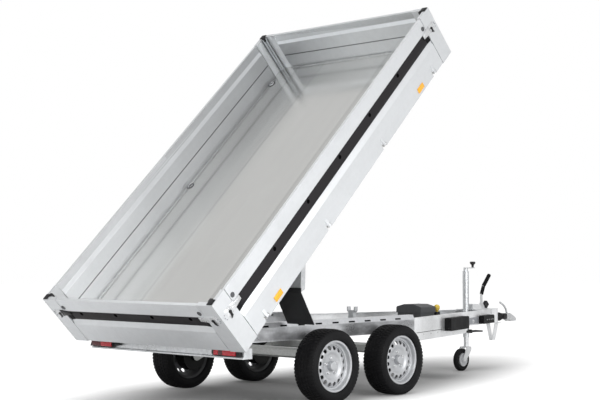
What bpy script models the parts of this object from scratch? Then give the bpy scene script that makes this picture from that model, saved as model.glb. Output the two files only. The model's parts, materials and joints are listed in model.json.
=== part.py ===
# Tandem-axle rear tipping trailer, parked on its jockey wheel with the bed raised.
# Metres, +X to the trailer's right, +Y forwards, +Z up, ground at Z = 0.
# Chassis sizes are measured from the rear axle; an empty then centres the whole trailer.

import math

import bmesh
import bpy
from mathutils import Matrix, Vector

# Widths, all from the bed's
BED_WIDTH = 1.790
WHEEL_OUT = BED_WIDTH / 2 - 0.139
FRAME_HALF = WHEEL_OUT - 0.156
RUNNER_X = FRAME_HALF - 0.180

# Clearances
SEAT = 0.0003
PIN_PLAY = 0.0005
RUNNING = 0.006

# Wheels
TYRE_RADIUS = 0.2625
TYRE_WIDTH = 0.195
RIM_RADIUS = TYRE_RADIUS - 0.080
RIM_WIDTH = 0.156
WHEEL_SIDES = 28
AXLE_SPACING = 0.757
VENT_COUNT = 16
VENT_RADIUS = 0.0135
VENT_CIRCLE = RIM_RADIUS - 0.0535
HUB_CAP_RADIUS = 0.034

# Axles
AXLE_TUBE = 0.075
AXLE_ARM_LENGTH = 0.13
AXLE_ARM_DROP = 0.0625
AXLE_ARM_THICK = 0.030
DRUM_RADIUS = RIM_RADIUS - 0.0675

# Chassis
SHEET = 0.004
FRAME_REAR = -0.788
FRAME_FRONT = 1.220
FRAME_TOP = 0.577
FRAME_BEND = 0.541
FRAME_BOTTOM = 0.446
FRAME_FLANGE = 0.055
FRAME_LEAN = 0.012
SLOT_PITCH = 0.185
SLOT_LENGTH = 0.045
SLOT_HEIGHT = 0.010
SLOT_COUNT = 10
FIRST_SLOT = -0.650
CROSS_DEPTH = 0.044
SADDLE_TOP = 0.628

# Drawbar
DRAWBAR_TIP = 3.100
DRAWBAR_TIP_HALF = 0.070
DRAWBAR_TOP = 0.548
DRAWBAR_BOTTOM = 0.365
DRAWBAR_NOSE_BOTTOM = 0.425
DRAWBAR_FLANGE = 0.045
DRAWBAR_TAPER_START = 0.62
DRAWBAR_TAPER_LENGTH = 0.10

# Coupling
COUPLING_TIP = 3.565
COUPLING_HEIGHT = 0.470
OVERRUN_RADIUS = 0.025

# Bed
TIP_ANGLE = math.radians(44.5)
BED_LENGTH = 3.190
WALL_HEIGHT = 0.430
WALL_THICK = 0.030
FLOOR_DEPTH = 0.098
SKIRT_LOW = 0.006
SKIRT_TOP = 0.048
SKIRT_THICK = 0.004
FLOOR_SHEET = 0.003
FLOOR_EDGE = 0.045
BED_OVERHANG = 0.300
BED_RISE = 0.080
TIP_AXIS_Y = -0.677
TIP_AXIS_Z = 0.569
POST_LEG = 0.145
PANEL_GAP = 0.005
RUNNER_WIDTH = 0.060
RUNNER_DEPTH = 0.072

# Drop hinges of the sides and top pins of the tailgate
HINGE_OUT = 0.006
HINGE_UP = 0.030
HINGE_EYE = 0.009
HINGE_PIN = 0.0045
HINGE_EYE_LENGTH = 0.024
HINGE_CHEEK = 0.006
SIDE_HINGES = 4
HINGE_FROM_END = 0.296
SIDE_HINGE_PITCH = (BED_LENGTH - 2 * HINGE_FROM_END) / (SIDE_HINGES - 1)
TAIL_PIN_IN = 0.012
TAIL_PIN_UP = 0.405
TAIL_PIN = 0.008
TAIL_PIN_REACH = 0.024

# Hydraulic cylinder
CYL_BASE_Y = -0.250
CYL_BASE_Z = 0.395
CYL_EYE_ALONG = 1.450
CYL_EYE_DROP = 0.070
BARREL_RADIUS = 0.045
ROD_RADIUS = 0.026
EYE_RADIUS = 0.032
EYE_WIDTH = 0.056
BARREL_LENGTH = 0.600
ROD_HIDDEN = 0.400

# Jockey wheel
JOCKEY_Y = 2.785
JOCKEY_TUBE = 0.029
JOCKEY_LEG = 0.023
JOCKEY_TUBE_TOP = 0.905
JOCKEY_TUBE_BOTTOM = 0.300
JOCKEY_RADIUS = 0.100
JOCKEY_WIDTH = 0.055
JOCKEY_TRAIL = 0.080

# Light bar
BAR_REAR = -0.868
BAR_DEPTH = 0.078
BAR_HALF = BED_WIDTH / 2 - 0.100
BAR_TOP = 0.430
BAR_BOTTOM = 0.360
LAMP_LENGTH = 0.270
LAMP_HEIGHT = 0.046
LAMP_DEPTH = 0.030

COLOURS = {
    "galvanised": ((0.66, 0.68, 0.69), 0.35, 0.85),
    "bed_sheet": ((0.72, 0.73, 0.72), 0.45, 0.60),
    "steel": ((0.60, 0.61, 0.62), 0.30, 0.90),
    "wheel_silver": ((0.74, 0.75, 0.77), 0.35, 0.70),
    "tyre": ((0.03, 0.03, 0.032), 0.85, 0.0),
    "rubber": ((0.035, 0.035, 0.038), 0.75, 0.0),
    "black_plastic": ((0.045, 0.045, 0.05), 0.45, 0.0),
    "dark_plastic": ((0.13, 0.13, 0.14), 0.55, 0.0),
    "drum_black": ((0.05, 0.05, 0.05), 0.60, 0.4),
    "yellow": ((0.80, 0.62, 0.10), 0.45, 0.0),
    "lamp": ((0.45, 0.03, 0.03), 0.25, 0.0),
    "painted_steel": ((0.08, 0.08, 0.09), 0.40, 0.3),
}

for leftover in list(bpy.data.objects):
    bpy.data.objects.remove(leftover)

PARTS = bpy.data.collections.new("tipping_trailer")
bpy.context.scene.collection.children.link(PARTS)
CUTTERS = bpy.data.collections.new("cutters")
bpy.context.scene.collection.children.link(CUTTERS)


def paint(name):
    """One Principled material per finish, made once."""
    known = bpy.data.materials.get(name)
    if known:
        return known
    colour, roughness, metallic = COLOURS[name]
    material = bpy.data.materials.new(name)
    material.use_nodes = True
    shader = material.node_tree.nodes["Principled BSDF"]
    shader.inputs["Base Color"].default_value = (*colour, 1.0)
    shader.inputs["Roughness"].default_value = roughness
    shader.inputs["Metallic"].default_value = metallic
    return material


def linked(name, mesh):
    """A working object in the cutters' collection until it is a finished part."""
    thing = bpy.data.objects.new(name, mesh)
    CUTTERS.objects.link(thing)
    return thing


def from_bmesh(bm, name="piece"):
    mesh = bpy.data.meshes.new(name)
    bm.to_mesh(mesh)
    bm.free()
    return linked(name, mesh)


def baked(thing):
    """The evaluated mesh of a curve or a modified object, welded, in place of the object."""
    bpy.context.view_layer.update()
    graph = bpy.context.evaluated_depsgraph_get()
    mesh = bpy.data.meshes.new_from_object(thing.evaluated_get(graph))
    mesh.transform(thing.matrix_world)
    bm = bmesh.new()
    bm.from_mesh(mesh)
    bmesh.ops.remove_doubles(bm, verts=bm.verts, dist=0.00002)
    bm.to_mesh(mesh)
    bm.free()
    solid = linked(thing.name, mesh)
    bpy.data.objects.remove(thing)
    return solid


def box(low, high):
    """A block between two corners."""
    size = [b - a for a, b in zip(low, high)]
    centre = [(a + b) / 2 for a, b in zip(low, high)]
    bm = bmesh.new()
    bmesh.ops.create_cube(bm, size=1.0)
    bmesh.ops.scale(bm, vec=size, verts=bm.verts)
    bmesh.ops.translate(bm, vec=centre, verts=bm.verts)
    return from_bmesh(bm)


AXIS_TURN = {
    "X": Matrix.Rotation(math.radians(90), 4, "Y"),
    "Y": Matrix.Rotation(math.radians(-90), 4, "X"),
    "Z": Matrix.Identity(4),
}


def rod(axis, centre, radius, length, sides=16, tip_radius=None):
    """A cylinder or cone about an axis, centred on a point; tip_radius is at its positive end."""
    bm = bmesh.new()
    end = radius if tip_radius is None else tip_radius
    bmesh.ops.create_cone(bm, cap_ends=True, segments=sides, radius1=radius, radius2=end, depth=length)
    bmesh.ops.rotate(bm, matrix=Matrix.Rotation(math.pi / sides, 4, "Z"), verts=bm.verts)
    bmesh.ops.transform(bm, matrix=Matrix.Translation(centre) @ AXIS_TURN[axis], verts=bm.verts)
    return from_bmesh(bm)


PLATE_TURN = {
    "X": Matrix(((0, 0, 1, 0), (1, 0, 0, 0), (0, 1, 0, 0), (0, 0, 0, 1))),
    "Y": Matrix(((1, 0, 0, 0), (0, 0, -1, 0), (0, 1, 0, 0), (0, 0, 0, 1))),
    "Z": Matrix.Identity(4),
}


def plate(axis, low, high, outline):
    """A flat outline extruded along an axis from low to high.
    The outline is in (y, z) for X, in (x, z) for Y and in (x, y) for Z."""
    curve = bpy.data.curves.new("outline", "CURVE")
    curve.dimensions = "2D"
    curve.fill_mode = "BOTH"
    curve.extrude = (high - low) / 2
    spline = curve.splines.new("POLY")
    spline.points.add(len(outline) - 1)
    for point, (a, b) in zip(spline.points, outline):
        point.co = (a, b, 0.0, 1.0)
    spline.use_cyclic_u = True
    shape = linked("plate", curve)
    solid = baked(shape)
    middle = (low + high) / 2
    shift = {"X": (middle, 0, 0), "Y": (0, middle, 0), "Z": (0, 0, middle)}[axis]
    solid.data.transform(Matrix.Translation(shift) @ PLATE_TURN[axis])
    return solid


def capsule(a, b, radius_a, radius_b, count=7):
    """The outline of a link with a round end about each of two points."""
    heading = math.atan2(b[1] - a[1], b[0] - a[0])
    points = []
    for centre, radius, start in ((b, radius_b, heading - math.pi / 2), (a, radius_a, heading + math.pi / 2)):
        for k in range(count):
            angle = start + math.pi * k / (count - 1)
            points.append((centre[0] + radius * math.cos(angle), centre[1] + radius * math.sin(angle)))
    return points


def turned(profile, sides, ring=False):
    """A profile of (radius, height) revolved about Z; a ring's profile is a closed loop.
    The flats, not the corners, of the many-sided result lie at the stated radius."""
    grow = 1 / math.cos(math.pi / sides)
    bm = bmesh.new()
    points = [bm.verts.new((radius * grow, 0.0, height)) for radius, height in profile]
    for first, second in zip(points, points[1:]):
        bm.edges.new((first, second))
    if ring:
        bm.edges.new((points[-1], points[0]))
    shape = from_bmesh(bm, "turned")
    screw = shape.modifiers.new("Screw", "SCREW")
    screw.steps = sides
    screw.render_steps = sides
    screw.use_merge_vertices = True
    screw.merge_threshold = 0.0001
    solid = baked(shape)
    bm = bmesh.new()
    bm.from_mesh(solid.data)
    bmesh.ops.rotate(bm, matrix=Matrix.Rotation(math.pi / sides, 4, "Z"), verts=bm.verts)
    bmesh.ops.recalc_face_normals(bm, faces=bm.faces)
    bm.to_mesh(solid.data)
    bm.free()
    return solid


def tube(points, radius, resolution=2):
    """A round bar along a list of points, closed at both ends."""
    curve = bpy.data.curves.new("tube", "CURVE")
    curve.dimensions = "3D"
    curve.bevel_depth = radius
    curve.bevel_resolution = resolution
    curve.use_fill_caps = True
    spline = curve.splines.new("POLY")
    spline.points.add(len(points) - 1)
    for point, place in zip(spline.points, points):
        point.co = (*place, 1.0)
    return baked(linked("tube", curve))


def bent(points, radius, count=4):
    """The same route with each inner corner turned into an arc."""
    route = [Vector(points[0])]
    for before, corner, after in zip(points, points[1:], points[2:]):
        corner = Vector(corner)
        back = (Vector(before) - corner).normalized()
        ahead = (Vector(after) - corner).normalized()
        for k in range(count + 1):
            t = k / count
            route.append(
                (1 - t) ** 2 * (corner + back * radius)
                + 2 * t * (1 - t) * corner
                + t**2 * (corner + ahead * radius)
            )
    route.append(Vector(points[-1]))
    return route


def combined(base, tools, operation):
    """The base cut by, or joined to, its tools; the tools are used up."""
    for tool in tools:
        tool.hide_render = True
        tool.display_type = "WIRE"
        step = base.modifiers.new(operation, "BOOLEAN")
        step.operation = operation
        step.object = tool
    solid = baked(base)
    for tool in tools:
        bpy.data.objects.remove(tool)
    return solid


def cut(base, *tools):
    return combined(base, tools, "DIFFERENCE")


def fused(base, *tools):
    return combined(base, tools, "UNION")


def moved(solid, matrix):
    solid.data.transform(matrix)
    return solid


def mirrored(solid):
    """A left-hand copy of a right-hand piece, with its faces turned the right way again."""
    mesh = solid.data.copy()
    mesh.transform(Matrix.Scale(-1, 4, (1, 0, 0)))
    mesh.flip_normals()
    return linked("mirrored", mesh)


def copied(solid):
    return linked("copy", solid.data.copy())


def empty(name, parent, place=(0, 0, 0)):
    """A reference point or joint axis that parts hang from."""
    thing = bpy.data.objects.new(name, None)
    PARTS.objects.link(thing)
    thing.parent = parent
    thing.location = place
    return thing


def part(name, solid, finish, parent, axis_at=(0, 0, 0), smooth=False):
    """Name, colour and hang a finished solid; axis_at is where its parent's origin lies in its own frame."""
    CUTTERS.objects.unlink(solid)
    PARTS.objects.link(solid)
    solid.name = name
    solid.data.name = name
    solid.data.materials.clear()
    solid.data.materials.append(paint(finish))
    solid.parent = parent
    solid.location = [-value for value in axis_at]
    if smooth:
        solid.data.shade_smooth()
        solid.data.set_sharp_from_angle(angle=math.radians(35))
    return solid


# Where the trailer's own middle lies along Y, between the raised bed's rear top edge and the coupling's tip
BED_REAR_LOW = TIP_AXIS_Y - BED_OVERHANG * math.cos(TIP_ANGLE) - BED_RISE * math.sin(TIP_ANGLE)
BED_REAR_TOP = BED_REAR_LOW - WALL_HEIGHT * math.sin(TIP_ANGLE)
MIDDLE_Y = (BED_REAR_TOP + COUPLING_TIP) / 2

trailer = empty("trailer_centre", None, (0, -MIDDLE_Y, 0))
bed_axis = empty("bed_tip_axis", trailer, (0, TIP_AXIS_Y, TIP_AXIS_Z))
bed_axis.rotation_euler = (TIP_ANGLE, 0, 0)
# In the bed's own frame Y runs forwards from the floor's rear edge and Z up from its underside
BED_AXIS_AT = (0, BED_OVERHANG, -BED_RISE)


def frame_side():
    """Folded side member: a web whose top band leans in, with inward flanges and a row of slots."""
    lean = FRAME_HALF - FRAME_LEAN
    inner = FRAME_HALF - FRAME_FLANGE
    section = [
        (inner, FRAME_BOTTOM),
        (FRAME_HALF, FRAME_BOTTOM),
        (FRAME_HALF, FRAME_BEND),
        (lean, FRAME_TOP),
        (inner, FRAME_TOP),
        (inner, FRAME_TOP - SHEET),
        (lean - SHEET, FRAME_TOP - SHEET),
        (FRAME_HALF - SHEET, FRAME_BEND - SHEET),
        (FRAME_HALF - SHEET, FRAME_BOTTOM + SHEET),
        (inner, FRAME_BOTTOM + SHEET),
    ]
    member = plate("Y", FRAME_REAR, FRAME_FRONT, section)
    slot_z = FRAME_BEND + SLOT_HEIGHT
    slots = []
    for k in range(SLOT_COUNT):
        y = FIRST_SLOT + k * SLOT_PITCH
        slots.append(
            box(
                (FRAME_HALF - 3 * FRAME_LEAN, y - SLOT_LENGTH / 2, slot_z - SLOT_HEIGHT / 2),
                (FRAME_HALF + FRAME_LEAN, y + SLOT_LENGTH / 2, slot_z + SLOT_HEIGHT / 2),
            )
        )
    return cut(member, *slots)


def cross_channel(y, depth_y):
    """Crossmember: a channel, open below, between the two side members' webs."""
    reach = FRAME_HALF - FRAME_FLANGE - SEAT
    top = FRAME_BOTTOM + CROSS_DEPTH
    section = [
        (y, FRAME_BOTTOM),
        (y, top),
        (y + depth_y, top),
        (y + depth_y, FRAME_BOTTOM),
        (y + depth_y - SHEET, FRAME_BOTTOM),
        (y + depth_y - SHEET, top - SHEET),
        (y + SHEET, top - SHEET),
        (y + SHEET, FRAME_BOTTOM),
    ]
    return plate("X", -reach, reach, section)


TIP_PIN_RADIUS = 0.012
TIP_LUG_RADIUS = 0.022
TIP_LUG_WIDTH = 0.040
TIP_EAR = 0.008


def rear_crossmember():
    """Rear channel with two pairs of ears that hold the bed's hinge pins."""
    beam = cross_channel(TIP_AXIS_Y - 0.045, 0.090)
    top = FRAME_BOTTOM + CROSS_DEPTH
    extras = []
    for side in (-1, 1):
        for shift in (-1, 1):
            inner = TIP_LUG_WIDTH / 2 + RUNNING / 2
            middle = side * RUNNER_X + shift * (inner + TIP_EAR / 2)
            outline = capsule((TIP_AXIS_Y, top - SHEET), (TIP_AXIS_Y, TIP_AXIS_Z), 0.034, 0.024)
            extras.append(plate("X", middle - TIP_EAR / 2, middle + TIP_EAR / 2, outline))
        length = TIP_LUG_WIDTH + RUNNING + 2 * TIP_EAR + 0.008
        extras.append(rod("X", (side * RUNNER_X, TIP_AXIS_Y, TIP_AXIS_Z), TIP_PIN_RADIUS, length, 12))
    return fused(beam, *extras)


def front_crossmember():
    """Front channel with a forked saddle on a pillar, which steadies the lowered bed."""
    y = FRAME_FRONT - 0.090
    beam = cross_channel(y, 0.080)
    base = FRAME_BOTTOM + CROSS_DEPTH - SHEET
    saddle = plate(
        "Y",
        y + 0.020,
        y + 0.060,
        [
            (-0.026, base),
            (0.026, base),
            (0.026, SADDLE_TOP - 0.050),
            (0.042, SADDLE_TOP - 0.034),
            (0.042, SADDLE_TOP),
            (0.034, SADDLE_TOP),
            (0.030, SADDLE_TOP - 0.030),
            (-0.030, SADDLE_TOP - 0.030),
            (-0.034, SADDLE_TOP),
            (-0.042, SADDLE_TOP),
            (-0.042, SADDLE_TOP - 0.034),
            (-0.026, SADDLE_TOP - 0.050),
        ],
    )
    return fused(beam, saddle)


def cylinder_crossmember():
    """Channel with two cheeks that hold the cylinder's base pin."""
    beam = cross_channel(CYL_BASE_Y - 0.130, 0.070)
    extras = []
    inner = EYE_WIDTH / 2 + SEAT
    for side in (-1, 1):
        low, high = sorted((side * inner, side * (inner + 0.010)))
        rear = CYL_BASE_Y - 0.130
        outline = [
            (rear, FRAME_BOTTOM + CROSS_DEPTH - SHEET),
            (rear, FRAME_BOTTOM - 0.004),
            (CYL_BASE_Y - 0.024, CYL_BASE_Z - 0.030),
            (CYL_BASE_Y + 0.024, CYL_BASE_Z - 0.030),
            (CYL_BASE_Y + 0.034, CYL_BASE_Z),
            (CYL_BASE_Y + 0.020, CYL_BASE_Z + 0.034),
            (rear + 0.066, FRAME_BOTTOM + CROSS_DEPTH - SHEET),
        ]
        extras.append(plate("X", low, high, outline))
    pin = rod("X", (0, CYL_BASE_Y, CYL_BASE_Z), 0.012, EYE_WIDTH + 0.030, 12)
    return fused(beam, *extras, pin)


def drawbar_side():
    """Right-hand drawbar member: a deep web that steps up towards the nose, with inward flanges."""
    run_y = DRAWBAR_TIP - FRAME_FRONT
    run_x = FRAME_HALF - DRAWBAR_TIP_HALF
    length = math.hypot(run_x, run_y)
    deep = length * DRAWBAR_TAPER_START
    step = deep + DRAWBAR_TAPER_LENGTH
    web = plate(
        "X",
        -SHEET,
        0.0,
        [
            (0, DRAWBAR_BOTTOM),
            (deep, DRAWBAR_BOTTOM),
            (step, DRAWBAR_NOSE_BOTTOM),
            (length, DRAWBAR_NOSE_BOTTOM),
            (length, DRAWBAR_TOP),
            (0, DRAWBAR_TOP),
        ],
    )
    thin = SHEET / 2
    top = box((-DRAWBAR_FLANGE, 0, DRAWBAR_TOP - SHEET), (-thin, length, DRAWBAR_TOP))
    low = plate(
        "X",
        -DRAWBAR_FLANGE,
        -thin,
        [
            (0, DRAWBAR_BOTTOM),
            (deep, DRAWBAR_BOTTOM),
            (step, DRAWBAR_NOSE_BOTTOM),
            (length, DRAWBAR_NOSE_BOTTOM),
            (length, DRAWBAR_NOSE_BOTTOM + SHEET),
            (step - thin, DRAWBAR_NOSE_BOTTOM + SHEET),
            (deep - thin, DRAWBAR_BOTTOM + SHEET),
            (0, DRAWBAR_BOTTOM + SHEET),
        ],
    )
    member = fused(web, top, low)
    turn = Matrix.Rotation(math.atan2(run_x, run_y), 4, "Z")
    place = Matrix.Translation((FRAME_HALF, FRAME_FRONT + SEAT, 0)) @ turn
    moved(member, place)
    # Both ends are trimmed square across the trailer
    behind = box((-1, FRAME_FRONT - 0.5, 0), (1, FRAME_FRONT + SEAT, 1))
    ahead = box((-1, DRAWBAR_TIP - 0.020, 0), (1, DRAWBAR_TIP + 0.5, 1))
    return cut(member, behind, ahead)


def drawbar_head():
    """Folded nose that ties the two drawbar members together under the overrun tube."""
    half = DRAWBAR_TIP_HALF + 0.012
    rear = DRAWBAR_TIP - 0.020 + SEAT
    front = DRAWBAR_TIP + 0.130
    top = DRAWBAR_TOP + 0.006
    shell = plate(
        "Z",
        DRAWBAR_NOSE_BOTTOM - 0.004,
        top,
        [(-half, rear), (half, rear), (half, front - 0.06), (half - 0.03, front), (-half + 0.03, front), (-half, front - 0.06)],
    )
    inside = plate(
        "Z",
        DRAWBAR_NOSE_BOTTOM - 0.1,
        top - SHEET,
        [
            (-half + SHEET, rear - 0.1),
            (half - SHEET, rear - 0.1),
            (half - SHEET, front - 0.06),
            (half - 0.03, front - SHEET),
            (-half + 0.03, front - SHEET),
            (-half + SHEET, front - 0.06),
        ],
    )
    hole = rod("Y", (0, front, COUPLING_HEIGHT), OVERRUN_RADIUS + SEAT, 0.2, 20)
    shell = cut(shell, inside, hole)
    back = DRAWBAR_TIP - 0.275
    top_half = drawbar_half(back) - 0.004
    lid = plate(
        "Z",
        DRAWBAR_TOP + SEAT,
        top,
        [(-half, rear + 0.02), (-top_half, back), (top_half, back), (half, rear + 0.02)],
    )
    hood = plate(
        "X",
        -0.045,
        0.045,
        [
            (back + 0.008, DRAWBAR_TOP + 0.002),
            (back + 0.150, DRAWBAR_TOP + 0.002),
            (back + 0.148, DRAWBAR_TOP + 0.018),
            (back + 0.125, DRAWBAR_TOP + 0.046),
            (back + 0.100, DRAWBAR_TOP + 0.054),
            (back + 0.008, DRAWBAR_TOP + 0.054),
        ],
    )
    return fused(shell, lid, hood)


def nose_skid():
    """Two tapered straps that hang in a V under the nose and meet in a foot."""
    top = DRAWBAR_NOSE_BOTTOM - 0.004 - SEAT
    foot = 0.254
    half = 0.052
    thick = 0.006
    strap = [
        (-half, top),
        (-0.014, foot),
        (0.014, foot),
        (half, top),
        (half - thick, top),
        (0.010, foot + thick),
        (-0.010, foot + thick),
        (-half + thick, top),
    ]
    y = DRAWBAR_TIP + 0.085
    vee = plate("Y", y, y + 0.055, strap)
    tops = []
    for side in (-1, 1):
        low, high = sorted((side * (half - thick), side * (DRAWBAR_TIP_HALF + 0.012)))
        tops.append(box((low, y, top - thick), (high, y + 0.055, top)))
    return fused(vee, *tops)


def overrun_tube():
    """Draw tube that slides in the nose, with its rubber bellows in front."""
    rear = DRAWBAR_TIP - 0.200
    front = COUPLING_TIP - 0.170
    bar = rod("Y", (0, (rear + front) / 2, COUPLING_HEIGHT), OVERRUN_RADIUS, front - rear, 20)
    start = DRAWBAR_TIP + 0.130 + SEAT
    profile = [(OVERRUN_RADIUS - 0.002, 0.0), (0.036, 0.0)]
    folds = 4
    pitch = 0.110 / folds
    for k in range(folds):
        profile.append((0.040, (k + 0.5) * pitch))
        profile.append((0.032, (k + 1) * pitch))
    profile.append((OVERRUN_RADIUS - 0.002, folds * pitch))
    bellows = turned(profile[::-1], 20, ring=True)
    moved(bellows, Matrix.Translation((0, start, COUPLING_HEIGHT)) @ AXIS_TURN["Y"])
    return fused(bar, bellows)


def coupling_head():
    """Pressed ball coupling: a socket body over the ball with a curved lift handle on top."""
    rear = COUPLING_TIP - 0.170 + SEAT
    z = COUPLING_HEIGHT
    body = plate(
        "X",
        -0.036,
        0.036,
        [
            (rear, z - 0.030),
            (rear, z + 0.030),
            (rear + 0.070, z + 0.030),
            (rear + 0.125, z + 0.006),
            (COUPLING_TIP, z - 0.020),
            (COUPLING_TIP, z - 0.045),
            (rear + 0.090, z - 0.048),
            (rear + 0.060, z - 0.030),
        ],
    )
    ball = rod("Z", (0, COUPLING_TIP - 0.058, z - 0.040), 0.026, 0.050, 16)
    body = cut(body, ball)
    handle = tube(
        bent(
            [
                (0, rear + 0.070, z + 0.016),
                (0, rear + 0.052, z + 0.070),
                (0, rear + 0.010, z + 0.110),
                (0, rear - 0.050, z + 0.134),
            ],
            0.025,
        ),
        0.010,
    )
    return fused(body, handle)


def handbrake():
    """Handbrake lever: a flat stem on the head's lid with a grip that leans forwards."""
    y = DRAWBAR_TIP - 0.065
    low = DRAWBAR_TOP + 0.006 + SEAT
    outline = [
        (y - 0.050, low),
        (y - 0.050, low + 0.020),
        (y - 0.014, low + 0.060),
        (y - 0.010, low + 0.146),
        (y + 0.030, low + 0.221),
        (y + 0.046, low + 0.211),
        (y + 0.012, low + 0.144),
        (y + 0.014, low + 0.055),
        (y + 0.045, low + 0.020),
        (y + 0.045, low),
    ]
    stem = plate("X", -0.006, 0.006, outline)
    grip = tube([(0, y + 0.028, low + 0.201), (0, y + 0.132, low + 0.312)], 0.015)
    return fused(stem, grip)


def jockey_tube():
    """Fixed outer tube in its clamp plate, with the crank's head on top."""
    middle = (JOCKEY_TUBE_TOP + JOCKEY_TUBE_BOTTOM) / 2
    height = JOCKEY_TUBE_TOP - JOCKEY_TUBE_BOTTOM
    outer = rod("Z", (0, JOCKEY_Y, middle), JOCKEY_TUBE, height, 20)
    inner_reach = DRAWBAR_TIP_HALF + (DRAWBAR_TIP - JOCKEY_Y) * (FRAME_HALF - DRAWBAR_TIP_HALF) / (
        DRAWBAR_TIP - FRAME_FRONT
    )
    reach = inner_reach - DRAWBAR_FLANGE - 0.012
    shelf = box(
        (-reach, JOCKEY_Y - 0.045, DRAWBAR_NOSE_BOTTOM + SHEET + SEAT),
        (reach, JOCKEY_Y + 0.045, DRAWBAR_NOSE_BOTTOM + SHEET + SEAT + 0.030),
    )
    head = rod("Z", (0, JOCKEY_Y, JOCKEY_TUBE_TOP + 0.010), 0.020, 0.030, 16)
    bore = rod("Z", (0, JOCKEY_Y, JOCKEY_TUBE_BOTTOM), JOCKEY_LEG + PIN_PLAY, 0.200, 20)
    return cut(fused(outer, shelf, head), bore)


def jockey_crank():
    """Crank arm on the tube's head with an upright knob."""
    z = JOCKEY_TUBE_TOP + 0.025 + SEAT
    arm = box((-0.012, JOCKEY_Y - 0.016, z), (0.012, JOCKEY_Y + 0.130, z + 0.008))
    knob = turned(
        [(0.0, 0.059), (0.021, 0.058), (0.026, 0.051), (0.024, 0.040), (0.012, 0.028), (0.009, 0.0), (0.0, 0.0)],
        14,
    )
    moved(knob, Matrix.Translation((0, JOCKEY_Y + 0.112, z + 0.004)))
    return fused(arm, knob)


def jockey_leg():
    """Inner tube with the castor fork that carries the jockey wheel."""
    axle_z = JOCKEY_RADIUS
    top = JOCKEY_TUBE_BOTTOM + 0.095
    crown = 2 * JOCKEY_RADIUS + 0.012
    leg = rod("Z", (0, JOCKEY_Y, (top + crown) / 2), JOCKEY_LEG, top - crown, 20)
    half = JOCKEY_WIDTH / 2 + RUNNING
    yoke = box((-half - 0.005, JOCKEY_Y - 0.045, crown - 0.004), (half + 0.005, JOCKEY_Y + 0.030, crown + 0.004))
    cheeks = []
    for side in (-1, 1):
        low, high = sorted((side * half, side * (half + 0.005)))
        outline = [
            (JOCKEY_Y - 0.045, crown + 0.004),
            (JOCKEY_Y - JOCKEY_TRAIL - 0.018, axle_z + 0.010),
            (JOCKEY_Y - JOCKEY_TRAIL - 0.016, axle_z - 0.014),
            (JOCKEY_Y - JOCKEY_TRAIL + 0.016, axle_z - 0.014),
            (JOCKEY_Y + 0.030, crown - 0.030),
            (JOCKEY_Y + 0.030, crown + 0.004),
        ]
        cheeks.append(plate("X", low, high, outline))
    pin = rod("X", (0, JOCKEY_Y - JOCKEY_TRAIL, axle_z), 0.008, 2 * half + 0.016, 12)
    return fused(leg, yoke, *cheeks, pin)


def jockey_wheel():
    """Small solid wheel with a dished centre, bored for its pin."""
    r = JOCKEY_RADIUS
    w = JOCKEY_WIDTH / 2
    profile = [
        (0.0085, w),
        (0.018, w),
        (0.020, w - 0.014),
        (r - 0.045, w - 0.016),
        (r - 0.030, w - 0.004),
        (r - 0.012, w - 0.002),
        (r, w - 0.012),
    ]
    lower = [(radius, -height) for radius, height in reversed(profile)]
    wheel = turned(profile + lower, 24, ring=True)
    return moved(wheel, AXIS_TURN["X"])


def light_bar():
    """Rear light bar: a folded channel with a bottom lip and closed ends, on two stays."""
    y0, y1 = BAR_REAR, BAR_REAR + BAR_DEPTH
    section = [
        (y0, BAR_TOP),
        (y0, BAR_BOTTOM + 0.016),
        (y0 - 0.010, BAR_BOTTOM + 0.010),
        (y0 - 0.010, BAR_BOTTOM),
        (y1, BAR_BOTTOM),
        (y1, BAR_TOP),
    ]
    bar = plate("X", -BAR_HALF, BAR_HALF, section)
    hollow = box(
        (-BAR_HALF + SHEET, y0 + SHEET, BAR_BOTTOM + SHEET),
        (BAR_HALF - SHEET, y1 + 0.01, BAR_TOP - SHEET),
    )
    bar = cut(bar, hollow)
    stays = []
    seat = FRAME_BOTTOM - SEAT
    outline = [
        (y1 - 0.030, BAR_TOP - 0.002),
        (y1 - 0.004, BAR_TOP - 0.002),
        (y1 - 0.004, seat - SHEET),
        (FRAME_REAR + 0.060, seat - SHEET),
        (FRAME_REAR + 0.060, seat),
        (y1 - 0.030, seat),
    ]
    for side in (-1, 1):
        middle = side * (FRAME_HALF - FRAME_FLANGE / 2)
        stays.append(plate("X", middle - 0.020, middle + 0.020, outline))
    return fused(bar, *stays)


def lamp():
    """Combination rear lamp with a slanted outer end, flat on the bar's rear face."""
    outer = BAR_HALF - 0.006
    inner = outer - LAMP_LENGTH
    low = BAR_BOTTOM + 0.018
    high = low + LAMP_HEIGHT
    outline = [(inner, low + 0.012), (inner + 0.012, low), (outer, low), (outer - 0.020, high), (inner, high)]
    return plate("Y", BAR_REAR - LAMP_DEPTH - SEAT, BAR_REAR - SEAT, outline)


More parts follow.
